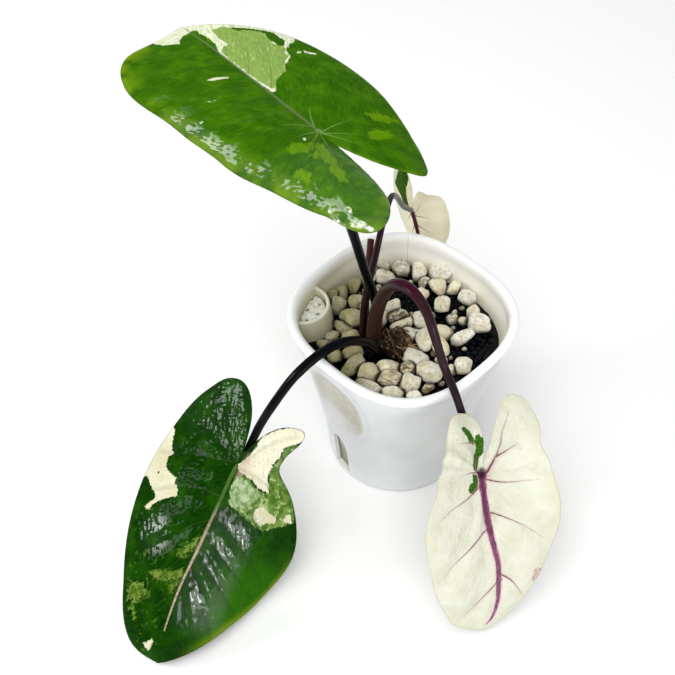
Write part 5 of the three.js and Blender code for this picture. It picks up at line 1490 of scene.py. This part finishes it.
def green_leaf():
    """Mid-green with darker and yellower streaks, cream and light green patches, lime flecks, grey midrib."""
    f = Leaf("green_leaf", IOR=1.45, Coat_Roughness=0.09, Coat_IOR=1.8)
    vague = f.noise(f.vector("grain"), 5, 2, 0.5, 0.4)
    left_margin = f.edge.step(13, 1) * f.over.step(-3, -14)
    gaps = f.ahead.step(-14, -24) * f.noise(f.flat, 2.6, 4, 0.6).step(0.44, 0.5)
    fleck = f.grain.step(0.56, 0.62) * f.cloud.step(0.52, 0.6)
    light = f.layers("#7fa048", (f.grain.step(0.35, 0.7), "#93b05c"), (fleck * 0.8, "#b9c893"))
    pale = f.torn("pale", 1.2)
    near = f.spread.step(420, 9)
    colour = f.layers(
        "#2c5b03",
        (f.grain.step(0.3, 0.7), "#3b6d04"),
        (f.cloud.step(0.4, 0.66) * 0.6, "#4a7d05"),
        (f.grain.step(0.57, 0.64) * f.cloud.step(0.4, 0.6) * 0.3, "#67931a"),
        (vague.step(0.5, 0.62) * 0.35, "#285503"),
        (left_margin * f.cloud.step(0.35, 0.6) * 0.55, "#6d8f0c"),
        (f.edge.step(4, 0.5) * f.cloud.step(0.4, 0.65) * 0.5, "#6d8f0c"),
        (f.torn("lime", 3.0, 1.0) * 0.7, f.mix(f.grain, "#5a8a04", "#78a30c")),
        (f.torn("cream", 1.1) * (1 - 0.85 * gaps), f.mix(f.grain.step(0.45, 0.62), "#e4e9cf", "#c2d09c")),
        (pale, light),
        (f.torn("dark", 1.1), "#33610a"),
        (f.veins(0.25) * (0.06 + 0.5 * pale + 0.6 * near), f.mix(pale, "#84a556", "#6f6640")),
        (f.rib(0.35) * 0.75, f.mix(f.fine, "#4f6233", "#7d8a66")),
        (f.spread.step(5, 1) * 0.6, "#7e9a60"),
        (f.edge.step(0.8, 0.1) * 0.25, "#33361a"),
        (f.below * 0.5, "#6d8a5a"),
    )
    gloss = (f.edge.step(10, 5) * f.over.step(-20, -32) * f.ahead.step(40, 24)
             + 0.55 * f.ahead.step(-8, -24) * f.over.step(2, -10)).least(1)
    wrinkle = f.noise(f.flat, 2.6, 1.5, 0.5, 0.6)
    height = f.net() * 0.2 + f.fine * 0.25 + f.grain * 0.3 + gloss * (0.3 * f.grain + 4.2 * wrinkle)
    return f.wear(Base_Color=colour, Roughness=0.4 + 0.2 * f.fine + 0.15 * f.under,
                  Coat_Weight=(0.04 + 0.5 * gloss) * f.above, Normal=f.bump(height, 0.2, 0.9))


def dark_leaf():
    """Glossy dark green with torn cream, sage and lime patches; a thin pink and cream midrib."""
    f = Leaf("dark_green_leaf", IOR=1.5, Coat_Roughness=0.11, Coat_IOR=1.9)
    outer_low = f.over.step(-6, -30) * f.ahead.step(22, 52)
    speck = f.noise(f.flat, 3.4, 4, 0.65).step(0.58, 0.63) * f.over.step(-2, 6) * f.ahead.step(34, 62)
    lime = f.mix(f.noise(f.flat, 3, 4, 0.6, 0.8).step(0.42, 0.58), "#4a6a1c", "#7a9040")
    sage = f.mix(f.noise(f.flat, 3.2, 4, 0.6, 0.8).step(0.42, 0.6), "#7d9d66", "#bccba3")
    light = f.layers(
        f.mix(f.noise(f.flat, 4, 4, 0.6, 0.8).step(0.4, 0.6), "#42691f", "#6c8c3c"),
        (f.noise(f.flat, 3.4, 4, 0.6, 1.0).step(0.56, 0.61) * 0.75, "#b4bf86"),
        (f.torn("sage", 2.6, 0.9) * 0.85, sage),
    )
    cloudy = f.cloud.step(0.35, 0.7)
    cream = f.mix(f.ahead.step(10, 0), f.mix(cloudy, "#d4d1b5", "#ccc7a4"),
                  f.mix(cloudy, "#e8e5cd", "#dfdabb"))
    blush = f.spread.step(60, 4) * f.over.step(-1, -3)
    low_right = f.over.step(-0.5, -3) * f.over.step(-30, -19) * f.ahead.step(12, 26) * f.ahead.step(84, 72)
    # painted shade: darker along the veins, in the furrows, most in the lower right
    furrow_shade = f.field("vein_room").step(1.9, 0.3) * (0.25 + 0.75 * low_right)
    tone = f.mix(f.ahead.step(16, 40), "#4a6a2c", f.mix(f.fine.step(0.4, 0.6), "#b9b394", "#a9837c"))
    colour = f.layers(
        "#082b02",
        (f.grain.step(0.35, 0.7), "#123d03"),
        (f.cloud.step(0.42, 0.7) * 0.7, "#205004"),
        (outer_low * 0.75, "#2f6a06"),
        (outer_low * f.edge.step(7, 0) * 0.9, "#6f8a14"),
        (speck * 0.55, "#547426"),
        (f.torn("lime", 4.0, 0.7) * 0.8, lime),
        (f.torn("pale", 1.1), light),
        (f.torn("cream", 1.2), cream),
        (blush * 0.5, "#d6a9a0"),
        (f.torn("spot", 0.5), "#4a382c"),
        (furrow_shade * 0.55, "#072003"),
        (f.veins(0.2) * 0.18, "#5b7a3c"),
        (f.rib(0.2) * 0.9, tone),
        (f.edge.step(0.7, 0.1) * 0.5, "#241a12"),
        (f.below * 0.5, "#66775c"),
    )
    wrinkle = f.noise(f.flat, 2.6, 1.5, 0.5, 0.6)
    height = f.net() * 0.3 + wrinkle * 2.6 + f.noise(f.flat, 5, 2) * 1.2
    spot = ((f.ahead - 47) ** 2 + (f.over - 22) ** 2).step(120, 10)
    coat = (0.03 + 0.44 * low_right + 0.11 * f.ahead.step(2, -8) + 0.24 * spot).least(0.6) * f.above
    return f.wear(Base_Color=colour, Roughness=0.32 + 0.16 * f.fine + 0.3 * f.below, Coat_Weight=coat,
                  Normal=f.bump(height, 0.42, 0.9))


def cream_leaf():
    """Ivory with a wide purple midrib, thin plum veins, torn green patches by the joint and a small scar."""
    f = Leaf("cream_leaf", **CREAM_SKIN)
    wide, from_vein = f.field("vein_wide"), abs(f.field("vein_side"))
    veins = f.field("vein_room").step(2.6, 1.8) * wide.step(0.02, 0.1)
    fade = 1 - 0.75 * f.field("vein_run").step(0.25, 1)
    halo = (wide * 2.2 + 0.15 - from_vein).step(-0.5, 0.6) * veins
    side = (wide * 0.75 - from_vein + (f.fine - 0.5) * 0.6).step(-0.2, 0.2) * veins
    ribs, from_rib = f.field("rib_wide"), abs(f.field("rib_side"))
    near = ribs - from_rib
    rib = (near + (f.fine - 0.5) * 0.9).step(-0.2, 0.25) * ribs.step(0.02, 0.2)
    core = (ribs * 0.5 - from_rib + (f.fine - 0.5) * 0.6).step(-0.2, 0.3) * f.ahead.step(66, 8)
    lines = f.noise(f.stretched(f.flat, (0.22, 1.6, 1)), 0.8, 4, 0.6)
    grain_dots = f.fine.step(0.4, 0.6)
    colour = f.layers(
        "#dadbcc",
        (f.cloud.step(0.35, 0.7), "#d2d3be"),
        (f.edge.step(9, 1) * f.cloud * 0.5, "#cfd1b0"),
        (f.noise(f.flat, 7, 4, 0.6, 0.5).step(0.5, 0.68) * 0.35, "#c9c9b2"),
        (f.edge.step(0.6, 0.1) * 0.22, "#8f8a62"),
        (f.torn("green", 0.8), f.mix(f.fine.step(0.35, 0.65), "#2a520e", "#3f6f1c")),
        (halo * fade * 0.35, "#c8909f"),
        (side * fade * 0.9, f.mix(grain_dots, "#743a4c", "#4a2030")),
        ((near + 0.7).step(-0.4, 0.5) * ribs.step(0.02, 0.2) * 0.45, "#d39ab3"),
        (rib, f.mix(lines.step(0.42, 0.6), "#66334f", "#a06a88")),
        (core * lines.step(0.4, 0.55) * 0.8, "#4c2039"),
        ((f.spread + 9 * (f.fine - 0.5)).step(11, 2) * 0.85, "#2e1420"),
        (f.torn("scar", 1.6, 0.3) * 0.85, f.mix(grain_dots, "#a87a72", "#d0c4b6")),
        (f.below * 0.35, "#c9c8ae"),
    )
    height = f.net() * 0.3 + f.fine * 0.3 + f.grain * 0.7 - side * 0.9 + f.noise(f.flat, 4.5, 3, 0.6) * 1.4
    return f.wear(Base_Color=colour, Roughness=0.46 + 0.2 * f.fine, Normal=f.bump(height, 0.42, 0.85))


def half_cream_leaf():
    """Cream with a green strip on one half, plum midrib and veins."""
    f = Leaf("half_cream_leaf", **CREAM_SKIN)
    colour = f.layers(
        "#ece8ce",
        (f.cloud.step(0.35, 0.7), "#e0dabb"),
        (f.edge.step(5, 0.5) * 0.35, "#c9c196"),
        (f.torn("green", 0.7), f.mix(f.fine.step(0.4, 0.6), "#234503", "#396508")),
        (f.veins(0.2) * 0.85, "#63293d"),
        (f.rib(0.25), f.mix(f.fine, "#3a1520", "#562838")),
        (f.below * 0.35, "#bdb793"),
    )
    height = f.net() * 0.4 + f.fine * 0.4 + f.grain * 0.6
    return f.wear(Base_Color=colour, Roughness=0.46 + 0.2 * f.fine, Normal=f.bump(height, 0.12, 0.7))


# The studio


def studio():
    """Camera of the photograph, a plain white floor and soft light from above and both sides."""
    scene = bpy.context.scene
    lens = bpy.data.cameras.new("camera")
    lens.sensor_width = FILM_WIDE
    lens.lens = FILM_WIDE * LENS_PX / FRAME_PX
    lens.clip_start, lens.clip_end = 0.01, 20
    scene.camera = stand("camera", lens)
    scene.camera.location = np.array(CAMERA_AT) * MM
    scene.camera.rotation_euler = (np.radians(90 - CAMERA_DOWN), 0, 0)
    floor_mesh = bpy.data.meshes.new("floor")
    corners = [(x * FLOOR_HALF, y * FLOOR_HALF, FLOOR_Z) for x, y in ((-1, -1), (1, -1), (1, 1), (-1, 1))]
    floor_mesh.from_pydata(corners, [], [(0, 1, 2, 3)])
    ground = Finish("pale_floor", Base_Color=FLOOR_COLOUR, Roughness=0.9, Specular_IOR_Level=0.1)
    floor_mesh.materials.append(ground.material)
    floor = stand("floor", floor_mesh)
    scene.world = bpy.data.worlds.new("studio")
    scene.world.use_nodes = True
    sky = scene.world.node_tree.nodes["Background"].inputs
    sky["Color"].default_value, sky["Strength"].default_value = (1, 1, 1, 1), SKY_POWER
    sun = bpy.data.lights.new("high_sun", "SUN")
    sun.energy, sun.angle = SUN["power"], np.radians(SUN["wide"])
    lamp = stand("high_sun", sun)
    lamp.rotation_euler = np.radians(SUN["turned"])
    lamp.visible_glossy = False
    for name, at, aim, wide, tall, power in LAMPS:
        light = bpy.data.lights.new(name, "AREA")
        light.shape, light.size, light.size_y, light.energy = "RECTANGLE", wide * MM, tall * MM, power
        lamp = stand(name, light)
        lamp.visible_glossy, lamp.visible_camera = name != "front_fill", False
        away = np.array(at, float) - aim
        lamp.location = np.array(at) * MM
        tilt, turn = np.arccos(away[2] / np.linalg.norm(away)), np.arctan2(away[1], away[0])
        lamp.rotation_euler = (tilt, 0, turn + np.pi / 2)
    scene.view_settings.view_transform = "Standard"


studio()
make_cup(plastic())
make_liner(plug())
make_bed(granules())
make_pebbles(pumice())
make_corm(bark())
skins = {name: stalk_skin(name, *values) for name, values in STALK_SKINS.items()}
for name, stalk in STALKS.items():
    make_stalk(name, skins[stalk["skin"]])
make_blade("top_blade", green_leaf())
make_blade("right_blade", cream_leaf())
make_blade("left_blade", dark_leaf())
make_blade("back_blade", half_cream_leaf())
